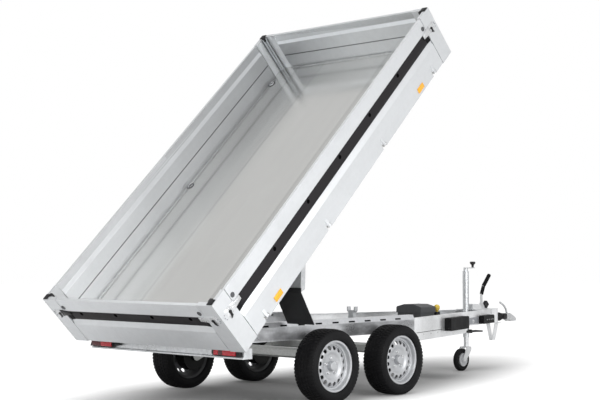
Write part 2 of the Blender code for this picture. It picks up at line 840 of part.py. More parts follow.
def axle(y):
    """Rubber torsion axle: chamfered tube, hangers, trailing arms, drums and spindles."""
    ty = y + AXLE_ARM_LENGTH
    tz = TYRE_RADIUS + AXLE_ARM_DROP
    half = AXLE_TUBE / 2
    c = 0.014
    section = [
        (ty - half, tz - half + c),
        (ty - half + c, tz - half),
        (ty + half - c, tz - half),
        (ty + half, tz - half + c),
        (ty + half, tz + half - c),
        (ty + half - c, tz + half),
        (ty - half + c, tz + half),
        (ty - half, tz + half - c),
    ]
    reach = FRAME_HALF + 0.004
    beam = plate("X", -reach, reach, section)
    extras = []
    for side in (-1, 1):
        low, high = sorted((side * (FRAME_HALF - 0.050), side * (FRAME_HALF - 0.006)))
        hanger = [
            (ty - half - 0.006, FRAME_BOTTOM - SEAT),
            (ty - half + 0.008, tz),
            (ty + half - 0.008, tz),
            (ty + half + 0.006, FRAME_BOTTOM - SEAT),
        ]
        extras.append(plate("X", low, high, hanger))
        a, b = sorted((side * (reach - 0.002), side * (reach + AXLE_ARM_THICK)))
        extras.append(plate("X", a, b, capsule((ty, tz), (y, TYRE_RADIUS), 0.044, 0.040)))
        start = reach + AXLE_ARM_THICK - 0.002
        drum_end = WHEEL_OUT - 0.040
        drum = rod("X", (side * (start + drum_end) / 2, y, TYRE_RADIUS), DRUM_RADIUS, drum_end - start, 24)
        hub_end = WHEEL_OUT + 0.0295
        hub_start = drum_end - 0.004
        hub = rod("X", (side * (hub_start + hub_end) / 2, y, TYRE_RADIUS), 0.062, hub_end - hub_start, 20)
        extras += [drum, hub]
    return fused(beam, *extras)


def tyre():
    """Tyre ring: bead inside the rim flanges, bulged sidewalls and a flat tread."""
    w = TYRE_WIDTH / 2
    r = TYRE_RADIUS
    bead = RIM_WIDTH / 2 - 0.014
    half = [
        (r, w - 0.040),
        (r - 0.003, w - 0.022),
        (r - 0.012, w - 0.009),
        (r - 0.030, w - 0.001),
        (r - 0.048, w),
        (r - 0.068, w - 0.006),
        (RIM_RADIUS + 0.0012, w - 0.018),
        (RIM_RADIUS + 0.0006, bead + 0.008),
        (RIM_RADIUS - 0.0115, bead),
    ]
    lower = [(radius, -height) for radius, height in reversed(half)]
    return moved(turned(half + lower, WHEEL_SIDES, ring=True), AXIS_TURN["X"])


def rim():
    """Pressed steel wheel: a well barrel and a dished centre with a ring of round vents."""
    r = RIM_RADIUS
    w = RIM_WIDTH / 2
    t = 0.004
    profile = [
        (r, w),
        (r, w - 0.005),
        (r - 0.0125, w - 0.012),
        (r - 0.015, w - 0.038),
        (r - 0.031, w - 0.050),
        (r - 0.031, -w + 0.052),
        (r - 0.014, -w + 0.012),
        (r, -w + 0.005),
        (r, -w),
        (r - 0.004, -w),
        (r - 0.018, -w + 0.010),
        (r - 0.031 - t, -w + 0.050),
        (r - 0.031 - t, 0.018),
        (r - 0.0605, 0.044),
        (r - 0.0825, 0.042),
        (r - 0.1045, 0.0300),
        (0.028, 0.0300),
        (0.028, 0.0345),
        (r - 0.1065, 0.0345),
        (r - 0.0845, 0.0475),
        (r - 0.0585, 0.0495),
        (r - 0.0365, 0.034),
        (r - 0.019, w - 0.034),
        (r - 0.0165, w - 0.010),
        (r - 0.004, w),
    ]
    wheel = turned(profile, WHEEL_SIDES, ring=True)
    vents = []
    for k in range(VENT_COUNT):
        angle = 2 * math.pi * (k + 0.5) / VENT_COUNT
        place = (VENT_CIRCLE * math.cos(angle), VENT_CIRCLE * math.sin(angle), 0.040)
        vents.append(rod("Z", place, VENT_RADIUS, 0.050, 8))
    wheel = cut(wheel, *vents)
    cap = turned(
        [(0.0, 0.066), (0.018, 0.064), (0.028, 0.056), (HUB_CAP_RADIUS, 0.040), (HUB_CAP_RADIUS, 0.0302), (0.0, 0.0302)],
        16,
    )
    return moved(fused(wheel, cap), AXIS_TURN["X"])


def wall_section(height, bottom):
    """Folded wall profile as (depth from the outer face, height).
    Outside it has a lower panel, a bright lip, a recess and a rail; inside, a rail, a ledge, a seam and a foot.
    A thin skirt hangs below in front of the floor's edge."""
    inner_rail = WALL_THICK - 0.008
    seam = WALL_THICK - 0.004
    foot = WALL_THICK - 0.006
    return [
        (0.0, bottom),
        (0.0, height - 0.253),
        (0.013, height - 0.203),
        (0.013, height - 0.117),
        (0.001, height - 0.112),
        (0.0, height),
        (inner_rail, height),
        (inner_rail, height - 0.060),
        (WALL_THICK, height - 0.096),
        (WALL_THICK, height - 0.204),
        (seam, height - 0.206),
        (seam, height - 0.210),
        (WALL_THICK, height - 0.212),
        (WALL_THICK, FLOOR_DEPTH + 0.030),
        (foot, FLOOR_DEPTH + 0.026),
        (foot, SKIRT_TOP),
        (SKIRT_THICK, SKIRT_TOP - 0.003),
        (SKIRT_THICK, bottom),
    ]


def hinge_spots(count, pitch, middle):
    return [middle + (k - (count - 1) / 2) * pitch for k in range(count)]


def drop_panel(length, spots):
    """A drop side along X from 0 to its length, outer face at y = 0, with hinge straps and eyes below.
    The hinge axis lies at y = -HINGE_OUT and z = HINGE_UP, and the skirt is notched for the floor's lugs."""
    panel = plate("X", 0, length, wall_section(WALL_HEIGHT, SKIRT_LOW))
    reach = HINGE_EYE_LENGTH / 2 + HINGE_CHEEK + 0.007
    notches = [box((x - reach, -0.05, -0.05), (x + reach, 0.05, SKIRT_TOP - 0.005)) for x in spots]
    panel = cut(panel, *notches)
    straps = []
    bores = []
    for x in spots:
        low = x - HINGE_EYE_LENGTH / 2
        high = x + HINGE_EYE_LENGTH / 2
        strap = [
            (0.002, HINGE_UP + 0.055),
            (-0.003, HINGE_UP + 0.055),
            (-HINGE_OUT - 0.004, HINGE_UP + 0.010),
            (-HINGE_OUT, HINGE_UP),
            (0.0, HINGE_UP + 0.004),
            (0.002, HINGE_UP + 0.010),
        ]
        straps.append(plate("X", low, high, strap))
        straps.append(rod("X", (x, -HINGE_OUT, HINGE_UP), HINGE_EYE, HINGE_EYE_LENGTH, 12))
        bores.append(rod("X", (x, -HINGE_OUT, HINGE_UP), HINGE_PIN + PIN_PLAY, HINGE_EYE_LENGTH * 2, 12))
    return cut(fused(panel, *straps), *bores)


def side_frame(side):
    """Turns a panel built along X into the right or left side of the bed."""
    if side > 0:
        return Matrix.Translation((BED_WIDTH / 2, 0, 0)) @ Matrix.Rotation(math.radians(90), 4, "Z")
    start = Matrix.Translation((-BED_WIDTH / 2, BED_LENGTH, 0))
    return start @ Matrix.Rotation(math.radians(-90), 4, "Z")


SIDE_START = POST_LEG + PANEL_GAP
SIDE_LENGTH = BED_LENGTH - 2 * SIDE_START
TAIL_LENGTH = BED_WIDTH - 2 * SIDE_START
SIDE_SPOTS = hinge_spots(SIDE_HINGES, SIDE_HINGE_PITCH, BED_LENGTH / 2)


def floor_hinges(spots):
    """Cheeks with pins that reach out from the floor's edge, for hinges along X on a wall at y = 0."""
    lugs = []
    inner = HINGE_EYE_LENGTH / 2 + 0.002
    outer = inner + HINGE_CHEEK
    for x in spots:
        for side in (-1, 1):
            low, high = sorted((x + side * inner, x + side * outer))
            lugs.append(box((low, -0.012, HINGE_UP - 0.007), (high, WALL_THICK + PANEL_GAP + 0.004, HINGE_UP + 0.007)))
        lugs.append(rod("X", (x, -HINGE_OUT, HINGE_UP), HINGE_PIN, 2 * outer - 0.002, 12))
    return lugs


def bed_floor():
    """Floor tray: a sheet on a folded edge frame, with the drop hinges' cheeks and pins.
    It reaches out to the fixed posts and front wall, and stays clear of the walls that open."""
    half = BED_WIDTH / 2
    near = WALL_THICK + SEAT
    far = WALL_THICK + PANEL_GAP
    right = [
        (half - POST_LEG, far),
        (half - POST_LEG, near),
        (half - near, near),
        (half - near, POST_LEG - PANEL_GAP),
        (half - far, POST_LEG),
        (half - far, BED_LENGTH - POST_LEG),
        (half - near, BED_LENGTH - POST_LEG + PANEL_GAP),
        (half - near, BED_LENGTH - near),
    ]
    left = [(-x, y) for x, y in reversed(right)]
    tray = plate("Z", 0.0, FLOOR_DEPTH, right + left)
    hollow = box(
        (-half + FLOOR_EDGE, FLOOR_EDGE, -0.01),
        (half - FLOOR_EDGE, BED_LENGTH - FLOOR_EDGE, FLOOR_DEPTH - FLOOR_SHEET),
    )
    lugs = []
    for side in (-1, 1):
        lugs += [moved(lug, side_frame(side)) for lug in floor_hinges(SIDE_SPOTS)]
    return fused(cut(tray, hollow), *lugs)


def corner_post(hung=False):
    """Folded L post at the rear right corner; a hung one carries the tailgate's pin."""
    half = BED_WIDTH / 2
    outline = [
        (half, 0.0),
        (half, POST_LEG),
        (half - WALL_THICK, POST_LEG),
        (half - WALL_THICK, WALL_THICK),
        (half - POST_LEG, WALL_THICK),
        (half - POST_LEG, 0.0),
    ]
    post = plate("Z", 0.0, WALL_HEIGHT + 0.003, outline)
    if not hung:
        return post
    inner = half - POST_LEG - PANEL_GAP - TAIL_PIN_REACH
    outer = half - POST_LEG + 0.010
    pin = rod("X", ((inner + outer) / 2, TAIL_PIN_IN, TAIL_PIN_UP), TAIL_PIN, outer - inner, 12)
    return fused(post, pin)


def tailgate():
    """Tailgate between the rear posts, bored at its top corners for their pins."""
    panel = plate("X", -TAIL_LENGTH / 2, TAIL_LENGTH / 2, wall_section(WALL_HEIGHT, SKIRT_LOW))
    bores = []
    for side in (-1, 1):
        place = (side * TAIL_LENGTH / 2, TAIL_PIN_IN, TAIL_PIN_UP)
        bores.append(rod("X", place, TAIL_PIN + PIN_PLAY, 2 * TAIL_PIN_REACH + 0.010, 12))
    return cut(panel, *bores)


def front_wall():
    """Fixed front wall between the front posts, same folded profile."""
    length = BED_WIDTH - 2 * (POST_LEG + SEAT)
    wall = plate("X", -length / 2, length / 2, wall_section(WALL_HEIGHT, 0.0))
    return moved(wall, Matrix.Translation((0, BED_LENGTH, 0)) @ Matrix.Rotation(math.pi, 4, "Z"))


def bed_subframe():
    """Ladder under the floor: two runners, ribs, hinge lugs and the cylinder's bracket."""
    top = FLOOR_DEPTH - FLOOR_SHEET - SEAT
    low = -RUNNER_DEPTH
    rear = BED_OVERHANG + 0.045
    front = BED_LENGTH - FLOOR_EDGE - SEAT
    pieces = []
    bores = []
    for side in (-1, 1):
        x0 = side * RUNNER_X - RUNNER_WIDTH / 2
        pieces.append(box((x0, rear, low), (x0 + RUNNER_WIDTH, front, top)))
        lug_x = side * RUNNER_X
        lug = capsule((BED_OVERHANG, -BED_RISE), (rear + 0.020, low + 0.040), TIP_LUG_RADIUS, 0.034)
        pieces.append(plate("X", lug_x - TIP_LUG_WIDTH / 2, lug_x + TIP_LUG_WIDTH / 2, lug))
        bores.append(rod("X", (lug_x, BED_OVERHANG, -BED_RISE), TIP_PIN_RADIUS + PIN_PLAY, 0.1, 12))
    ribs = []
    for y in (0.500, CYL_EYE_ALONG, 2.250, front - 0.050):
        ribs.append(box((-RUNNER_X, y - 0.025, 0.0), (RUNNER_X, y + 0.025, top)))
    ears = []
    inner = EYE_WIDTH / 2 + SEAT
    for side in (-1, 1):
        a, b = sorted((side * inner, side * (inner + 0.010)))
        ear = [
            (CYL_EYE_ALONG - 0.060, 0.010),
            (CYL_EYE_ALONG - 0.030, -CYL_EYE_DROP - 0.018),
            (CYL_EYE_ALONG, -CYL_EYE_DROP - 0.032),
            (CYL_EYE_ALONG + 0.030, -CYL_EYE_DROP - 0.018),
            (CYL_EYE_ALONG + 0.060, 0.010),
        ]
        ears.append(plate("X", a, b, ear))
    base = fused(pieces[0], *pieces[1:], *ribs, *ears)
    return cut(base, *bores)


GUARD_BACK = 0.604
GUARD_LOW = -0.378
GUARD_JOINT_Y = 0.664
GUARD_JOINT_Z = -0.125
GUARD_TOP_Y = 0.795
GUARD_INNER = WHEEL_OUT - 0.141
GUARD_OUTER = WHEEL_OUT + 0.102
GUARD_LIP = 0.042


def mud_guard():
    """Right guard behind the rear wheel: a sloping plate with a side lip towards the wheel."""
    run = GUARD_TOP_Y - GUARD_JOINT_Y
    rise = -SEAT - GUARD_JOINT_Z
    slope = math.hypot(run, rise)
    along = (run / slope, rise / slope)
    normal = (along[1], -along[0])
    foot = (GUARD_JOINT_Y, GUARD_JOINT_Z)
    head = (GUARD_TOP_Y, -SEAT)
    t = 0.003

    def beside(point, distance):
        return (point[0] + normal[0] * distance, point[1] + normal[1] * distance)

    head_cut = (head[0] + t / normal[0] * 1.0, head[1])
    sheet = plate("X", GUARD_INNER, GUARD_OUTER, [foot, head, head_cut, beside(foot, t)])
    lip_head = (head[0] + GUARD_LIP / normal[0], head[1])
    lip_foot = beside((foot[0] + along[0] * 0.02, foot[1] + along[1] * 0.02), GUARD_LIP)
    lip = plate("X", GUARD_OUTER - t, GUARD_OUTER, [foot, head, lip_head, lip_foot])
    flange = box((GUARD_INNER, head[0], -SEAT - t), (GUARD_OUTER, head[0] + 0.05, -SEAT))
    return fused(sheet, lip, flange)


def mud_flap():
    """Rubber flap bolted behind the guard's foot, hanging close to upright when the bed is down."""
    t = 0.006
    lift = 0.030
    run = GUARD_TOP_Y - GUARD_JOINT_Y
    rise = -SEAT - GUARD_JOINT_Z
    slope = math.hypot(run, rise)
    along = (run / slope, rise / slope)
    back = (-along[1], along[0])
    gap = SEAT
    joint = (GUARD_JOINT_Y + back[0] * gap, GUARD_JOINT_Z + back[1] * gap)
    up = (joint[0] + along[0] * lift, joint[1] + along[1] * lift)
    outline = [
        up,
        joint,
        (GUARD_BACK, GUARD_LOW),
        (GUARD_BACK - t, GUARD_LOW),
        (joint[0] + back[0] * t, joint[1] + back[1] * t - 0.002),
        (up[0] + back[0] * t, up[1] + back[1] * t),
    ]
    flap = plate("X", GUARD_INNER - 0.004, GUARD_OUTER + 0.004, outline)
    return flap


def cylinder_pose():
    """Base pin, and the rod eye's place when the bed is raised, in chassis metres."""
    base = Vector((0, CYL_BASE_Y, CYL_BASE_Z))
    along = CYL_EYE_ALONG - BED_OVERHANG
    up = BED_RISE - CYL_EYE_DROP
    c, s = math.cos(TIP_ANGLE), math.sin(TIP_ANGLE)
    eye = Vector((0, TIP_AXIS_Y + along * c - up * s, TIP_AXIS_Z + along * s + up * c))
    return base, eye


def cylinder_barrel():
    """Barrel along +Z from the base pin at the origin, with a bored tail eye and a gland."""
    tail = rod("X", (0, 0, 0), EYE_RADIUS, EYE_WIDTH, 20)
    neck = rod("Z", (0, 0, 0.040), 0.022, 0.050, 16)
    profile = [
        (0.0, BARREL_LENGTH),
        (BARREL_RADIUS, BARREL_LENGTH),
        (BARREL_RADIUS, 0.070),
        (0.030, 0.056),
        (0.0, 0.056),
    ]
    body = turned(profile, 20)
    bore = rod("Z", (0, 0, BARREL_LENGTH / 2 + 0.055), ROD_RADIUS + PIN_PLAY, BARREL_LENGTH - 0.040, 20)
    pin = rod("X", (0, 0, 0), 0.012 + PIN_PLAY, 0.1, 12)
    return cut(fused(tail, neck, body), bore, pin)


def cylinder_rod(length):
    """Rod from inside the barrel to its bored eye; length is from the base pin to the eye."""
    inside = ROD_HIDDEN
    shaft = rod("Z", (0, 0, (inside + length) / 2 - 0.010), ROD_RADIUS, length - inside - 0.020, 20)
    eye = rod("X", (0, 0, length), EYE_RADIUS, EYE_WIDTH, 20)
    pin = rod("X", (0, 0, length), 0.0125, 0.1, 12)
    return cut(fused(shaft, eye), pin)


PACK_HEIGHT = 0.146
PUMP_AHEAD = 0.075
PACK_REAR = FRAME_FRONT + 0.680
PACK_FRONT = PACK_REAR + 0.210
PACK_LEFT = -0.115
PACK_RIGHT = 0.152
PACK_FLOOR = DRAWBAR_TOP - 0.088
PACK_TOP = PACK_FLOOR + PACK_HEIGHT
PUMP_X = PACK_RIGHT - 0.040
PUMP_Y = PACK_FRONT + PUMP_AHEAD


def pack_tray():
    """Folded tray that carries the power pack between the drawbar members."""
    rear, front = PACK_REAR - 0.030, PUMP_Y + 0.050
    inset = SHEET * 1.05 + 2 * SEAT
    rear_half = drawbar_half(rear) - inset
    front_half = drawbar_half(front) - inset
    sheet = plate(
        "Z",
        PACK_FLOOR - SEAT - SHEET,
        PACK_FLOOR - SEAT,
        [(-rear_half, rear), (rear_half, rear), (front_half, front), (-front_half, front)],
    )
    low = PACK_FLOOR - 0.035
    edges = [
        box((-rear_half + 0.006, rear + 0.001, low), (rear_half - 0.006, rear + 0.001 + SHEET, PACK_FLOOR - SHEET)),
        box((-front_half, front - 0.001 - SHEET, low), (front_half, front - 0.001, PACK_FLOOR - SHEET)),
    ]
    return fused(sheet, *edges)


def power_pack():
    """Moulded box of the hydraulic power pack, with a low crowned lid that overhangs it."""
    inset = 0.008
    body = box(
        (PACK_LEFT + inset, PACK_REAR + inset, PACK_FLOOR),
        (PACK_RIGHT - inset, PACK_FRONT - inset, PACK_TOP - 0.040),
    )
    rise = 0.020
    middle = (PACK_LEFT + PACK_RIGHT) / 2
    lid = plate(
        "Y",
        PACK_REAR,
        PACK_FRONT,
        [
            (PACK_LEFT, PACK_TOP - 0.052),
            (PACK_RIGHT, PACK_TOP - 0.052),
            (PACK_RIGHT, PACK_TOP - 0.008),
            (PACK_RIGHT - 0.008, PACK_TOP),
            (middle + 0.050, PACK_TOP + rise),
            (middle - 0.050, PACK_TOP + rise),
            (PACK_LEFT + 0.008, PACK_TOP),
            (PACK_LEFT, PACK_TOP - 0.008),
        ],
    )
    return fused(body, lid)


def pump():
    """Hand pump on the tray beside the pack: a ribbed body with a round head."""
    profile = [
        (0.0, 0.160),
        (0.014, 0.157),
        (0.024, 0.145),
        (0.026, 0.130),
        (0.020, 0.112),
        (0.012, 0.106),
        (0.012, 0.094),
        (0.024, 0.088),
        (0.024, 0.0),
        (0.0, 0.0),
    ]
    return moved(turned(profile, 16), Matrix.Translation((PUMP_X, PUMP_Y, PACK_FLOOR)))


def drawbar_half(y):
    """Outer half width of the drawbar at a place along the trailer."""
    share = (y - FRAME_FRONT) / (DRAWBAR_TIP - FRAME_FRONT)
    return FRAME_HALF + (DRAWBAR_TIP_HALF - FRAME_HALF) * share


CHOCK_REAR = FRAME_FRONT + 0.660
CHOCK_FRONT = FRAME_FRONT + 1.520
CHOCK_LENGTH = 0.440
CHOCK_HEIGHT = 0.108
CHOCK_THICK = 0.060
CHOCK_MIDDLE = DRAWBAR_TOP - 0.081


def chock(start, length, height, thick, nose):
    """Wheel chock laid against the right drawbar member's outer face."""
    angle = math.atan2(FRAME_HALF - DRAWBAR_TIP_HALF, DRAWBAR_TIP - FRAME_FRONT)
    scale = 1 / math.cos(angle)
    a = (start - FRAME_FRONT) * scale
    b = (start + length - FRAME_FRONT) * scale
    low = CHOCK_MIDDLE - height / 2
    high = CHOCK_MIDDLE + height / 2
    outline = [
        (a, low + 0.012),
        (a + 0.012, low),
        (b, low),
        (b, high - nose),
        (b - 2 * nose, high),
        (a + 0.012, high),
        (a, high - 0.012),
    ]
    block = plate("X", SEAT, SEAT + thick, outline)
    place = Matrix.Translation((FRAME_HALF, FRAME_FRONT + SEAT, 0)) @ Matrix.Rotation(angle, 4, "Z")
    return moved(block, place)


# Chassis
right_side = frame_side()
part("frame_side_left", mirrored(right_side), "galvanised", trailer)
part("frame_side_right", right_side, "galvanised", trailer)
part("crossmember_rear", rear_crossmember(), "galvanised", trailer)
part("crossmember_cylinder", cylinder_crossmember(), "galvanised", trailer)
part("crossmember_front", front_crossmember(), "galvanised", trailer)
right_bar = drawbar_side()
part("drawbar_left", mirrored(right_bar), "galvanised", trailer)
part("drawbar_right", right_bar, "galvanised", trailer)
part("drawbar_head", drawbar_head(), "galvanised", trailer)
part("nose_skid", nose_skid(), "galvanised", trailer)
part("overrun_tube", overrun_tube(), "rubber", trailer, smooth=True)
part("coupling_head", coupling_head(), "steel", trailer)
part("handbrake_lever", handbrake(), "black_plastic", trailer, smooth=True)
part("light_bar", light_bar(), "galvanised", trailer)
right_lamp = lamp()
part("rear_lamp_left", mirrored(right_lamp), "lamp", trailer)
part("rear_lamp_right", right_lamp, "lamp", trailer)
part("axle_rear", axle(0.0), "drum_black", trailer)
part("axle_front", axle(AXLE_SPACING), "drum_black", trailer)
part("pack_tray", pack_tray(), "galvanised", trailer)
part("power_pack", power_pack(), "dark_plastic", trailer)
part("hand_pump", pump(), "yellow", trailer, smooth=True)
rear_chock = chock(CHOCK_REAR, CHOCK_LENGTH, CHOCK_HEIGHT, CHOCK_THICK, 0.008)
part("wheel_chock_rear", rear_chock, "black_plastic", trailer)
front_chock = chock(CHOCK_FRONT, CHOCK_LENGTH * 0.66, CHOCK_HEIGHT * 0.69, CHOCK_THICK - 0.010, 0.012)
part("wheel_chock_front", front_chock, "black_plastic", trailer)

# Jockey wheel
part("jockey_tube", jockey_tube(), "steel", trailer, smooth=True)
part("jockey_crank", jockey_crank(), "black_plastic", trailer, smooth=True)
castor_axis = empty("jockey_castor_axis", trailer, (0, JOCKEY_Y, 0))
part("jockey_leg", jockey_leg(), "steel", castor_axis, (0, JOCKEY_Y, 0), smooth=True)
jockey_axis = empty("jockey_wheel_axis", castor_axis, (0, -JOCKEY_TRAIL, JOCKEY_RADIUS))
part("jockey_wheel", jockey_wheel(), "tyre", jockey_axis, smooth=True)

# Wheels: name, side, axle place
WHEELS = (
    ("rear_left", -1, 0.0),
    ("rear_right", 1, 0.0),
    ("front_left", -1, AXLE_SPACING),
    ("front_right", 1, AXLE_SPACING),
)
tyre_mesh = tyre()
rim_right = rim()
rim_left = mirrored(rim_right)
for name, side, along in WHEELS:
    axis = empty("axis_" + name, trailer, (side * WHEEL_OUT, along, TYRE_RADIUS))
    part("tyre_" + name, copied(tyre_mesh), "tyre", axis, smooth=True)
    part("rim_" + name, copied(rim_right if side > 0 else rim_left), "wheel_silver", axis, smooth=True)
for pattern in (tyre_mesh, rim_right, rim_left):
    bpy.data.objects.remove(pattern)

# Bed
part("bed_floor", bed_floor(), "bed_sheet", bed_axis, BED_AXIS_AT)
part("bed_subframe", bed_subframe(), "galvanised", bed_axis, BED_AXIS_AT)
part("front_wall", front_wall(), "bed_sheet", bed_axis, BED_AXIS_AT)
turn_front = Matrix.Translation((0, BED_LENGTH, 0)) @ Matrix.Rotation(math.pi, 4, "Z")
front_left_post = moved(corner_post(), turn_front)
part("post_front_right", mirrored(front_left_post), "bed_sheet", bed_axis, BED_AXIS_AT)
part("post_front_left", front_left_post, "bed_sheet", bed_axis, BED_AXIS_AT)
rear_right_post = corner_post(hung=True)
part("post_rear_left", mirrored(rear_right_post), "bed_sheet", bed_axis, BED_AXIS_AT)
part("post_rear_right", rear_right_post, "bed_sheet", bed_axis, BED_AXIS_AT)
right_guard = mud_guard()
part("mud_guard_left", mirrored(right_guard), "galvanised", bed_axis, BED_AXIS_AT)
part("mud_guard_right", right_guard, "galvanised", bed_axis, BED_AXIS_AT)
right_flap = mud_flap()
part("mud_flap_left", mirrored(right_flap), "rubber", bed_axis, BED_AXIS_AT)
part("mud_flap_right", right_flap, "rubber", bed_axis, BED_AXIS_AT)

# Drop sides and tailgate, each hung from an empty on its hinge axis
side_spots = [spot - SIDE_START for spot in SIDE_SPOTS]
for name, side in (("side_left", -1), ("side_right", 1)):
    panel = drop_panel(SIDE_LENGTH, side_spots)
    moved(panel, side_frame(side) @ Matrix.Translation((SIDE_START, 0, 0)))
    hinge_at = (side * (BED_WIDTH / 2 + HINGE_OUT), 0, HINGE_UP)
    hinge = empty(name + "_axis", bed_axis, [a - b for a, b in zip(hinge_at, BED_AXIS_AT)])
    part(name, panel, "bed_sheet", hinge, hinge_at)
tail_at = (0, TAIL_PIN_IN, TAIL_PIN_UP)
tail_hinge = empty("tailgate_axis", bed_axis, [a - b for a, b in zip(tail_at, BED_AXIS_AT)])
part("tailgate", tailgate(), "bed_sheet", tail_hinge, tail_at)

# Hydraulic cylinder, swung about its base pin
base_point, eye_point = cylinder_pose()
reach = (eye_point - base_point).length
swing = empty("cylinder_axis", trailer, base_point)
lean = math.atan2(eye_point.z - base_point.z, eye_point.y - base_point.y)
swing.rotation_euler = (lean - math.pi / 2, 0, 0)
part("cylinder_barrel", cylinder_barrel(), "painted_steel", swing, smooth=True)
part("cylinder_rod", cylinder_rod(reach), "steel", swing, smooth=True)
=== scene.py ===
# %% [markdown]
# # A tandem-axle tipping trailer
# The trailer stands in a white studio on its wheels and its jockey wheel, with the bed tipped back.
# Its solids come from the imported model. Here they get their finishes, and the fine pieces are added:
# strips, latches, lenses, treads, screws and caps.

# %% Load the solids
import json
import math
from contextlib import contextmanager

import bpy
from mathutils import Matrix, Vector


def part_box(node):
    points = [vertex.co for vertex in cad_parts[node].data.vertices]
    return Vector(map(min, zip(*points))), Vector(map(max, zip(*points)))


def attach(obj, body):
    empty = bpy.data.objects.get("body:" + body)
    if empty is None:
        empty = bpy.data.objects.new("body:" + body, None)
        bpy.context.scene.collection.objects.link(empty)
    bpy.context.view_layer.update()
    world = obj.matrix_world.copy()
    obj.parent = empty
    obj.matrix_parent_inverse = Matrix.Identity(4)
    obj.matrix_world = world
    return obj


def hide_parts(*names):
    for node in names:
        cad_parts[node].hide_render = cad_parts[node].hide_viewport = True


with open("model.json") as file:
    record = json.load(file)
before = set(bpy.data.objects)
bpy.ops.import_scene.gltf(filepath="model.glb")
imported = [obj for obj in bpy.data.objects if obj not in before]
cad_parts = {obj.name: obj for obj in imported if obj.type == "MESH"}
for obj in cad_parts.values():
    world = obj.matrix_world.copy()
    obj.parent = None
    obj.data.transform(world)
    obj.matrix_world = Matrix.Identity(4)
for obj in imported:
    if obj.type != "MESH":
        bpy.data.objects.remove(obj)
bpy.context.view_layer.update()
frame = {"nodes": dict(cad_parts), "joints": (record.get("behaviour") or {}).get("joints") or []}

# %% [markdown]
# The bed is tipped, so its own pieces are easiest to shape level and then turn into place.
# A matrix does that. It turns by the tipping angle about the hinge pins, whose place the frame knows.
# In the bed's own measure, Y runs forwards from the floor's rear edge and Z up from its underside.

# %% The bed's place
TIP_ANGLE = math.radians(44.5)
BED_OVERHANG = 0.3
BED_RISE = 0.08
JOINT_AT = {joint["name"]: Vector(joint["pos_m"]) for joint in frame["joints"] if "pos_m" in joint}
TIP_AT = Vector((0, JOINT_AT["bed_tip"].y, JOINT_AT["bed_tip"].z))
BED_PLACE = (
    Matrix.Translation(TIP_AT)
    @ Matrix.Rotation(TIP_ANGLE, 4, "X")
    @ Matrix.Translation((0, -BED_OVERHANG, BED_RISE))
)
BED_WIDTH = 1.79
BED_LENGTH = 3.19
WALL_HEIGHT = 0.43
FLOOR_TOP = 0.098
POST_LEG = 0.145
HALF = BED_WIDTH / 2
print("bed corner in the scene:", [round(v, 3) for v in BED_PLACE @ Vector((HALF, 0, 0))])

# %% [markdown]
# The camera stands behind the trailer's right rear wheel, chest high, and looks up a little. A fairly long
# lens keeps the trailer's edges nearly parallel, as in a catalogue picture.

# %% Camera
camera_data = bpy.data.cameras.new("camera")
camera_data.lens = 73.28
camera_data.sensor_width = 36.0
camera_data.clip_end = 100.0
camera = bpy.data.objects.new("camera", camera_data)
bpy.context.scene.collection.objects.link(camera)
camera.location = (6.5105, -7.6824, 1.0231)
camera.rotation_euler = (math.pi / 2 + 0.0477, 0.0, 0.7449)
bpy.context.scene.camera = camera
bpy.context.scene.view_settings.view_transform = "Standard"
print("camera lens:", camera_data.lens, "mm")

# %% [markdown]
# Every finish here is built from shader nodes. These helpers add a node, do a sum, and map a value
# from one span to another.

# %% Helpers for shader nodes
def new_node(tree, kind, inputs=None, **settings):
    """Adds a node with its settings. An input is a number, a vector, a colour or another node's output."""
    node = tree.nodes.new("ShaderNode" + kind)
    for label, value in settings.items():
        setattr(node, label, value)
    for label, value in (inputs or {}).items():
        if isinstance(value, bpy.types.NodeSocket):
            tree.links.new(value, node.inputs[label])
        else:
            node.inputs[label].default_value = value
    return node


def math_node(tree, operation, a, b=None):
    """A Math node whose inputs are numbers or sockets; returns its output."""
    inputs = {0: a} if b is None else {0: a, 1: b}
    return new_node(tree, "Math", inputs, operation=operation).outputs[0]


def vector_math(tree, operation, a, b=None):
    """The same for vectors."""
    inputs = {0: a} if b is None else {0: a, 1: b}
    outputs = new_node(tree, "VectorMath", inputs, operation=operation).outputs
    return outputs["Value" if operation == "LENGTH" else "Vector"]


def blend(tree, factor, a, b, data_type="FLOAT"):
    """Goes from a to b as the factor goes from zero to one."""
    inputs = {"Factor": factor, "A": a, "B": b}
    return new_node(tree, "Mix", inputs, data_type=data_type).outputs["Result"]


def product(tree, *values):
    """Several values multiplied."""
    value = values[0]
    for other in values[1:]:
        value = math_node(tree, "MULTIPLY", value, other)
    return value


def away(tree, value, middle=0.0):
    """How far a value is from a middle one, on either side."""
    return math_node(tree, "ABSOLUTE", math_node(tree, "SUBTRACT", value, middle))


def spread(tree, value, low, high, out_low, out_high, **settings):
    """Maps a value from one span to another, held at both ends."""
    inputs = {"Value": value, "From Min": low, "From Max": high, "To Min": out_low, "To Max": out_high}
    return new_node(tree, "MapRange", inputs, **settings).outputs[0]


print("node helpers are ready")

# %% [markdown]
# The studio is plain: a pale floor, an even white surround, and soft lamps above.
# The surround looks white to the camera but lights the trailer less, so that pale metal keeps its tone.
# In reflections it is bright near the horizon and greyer overhead. The Light Path node tells them apart.

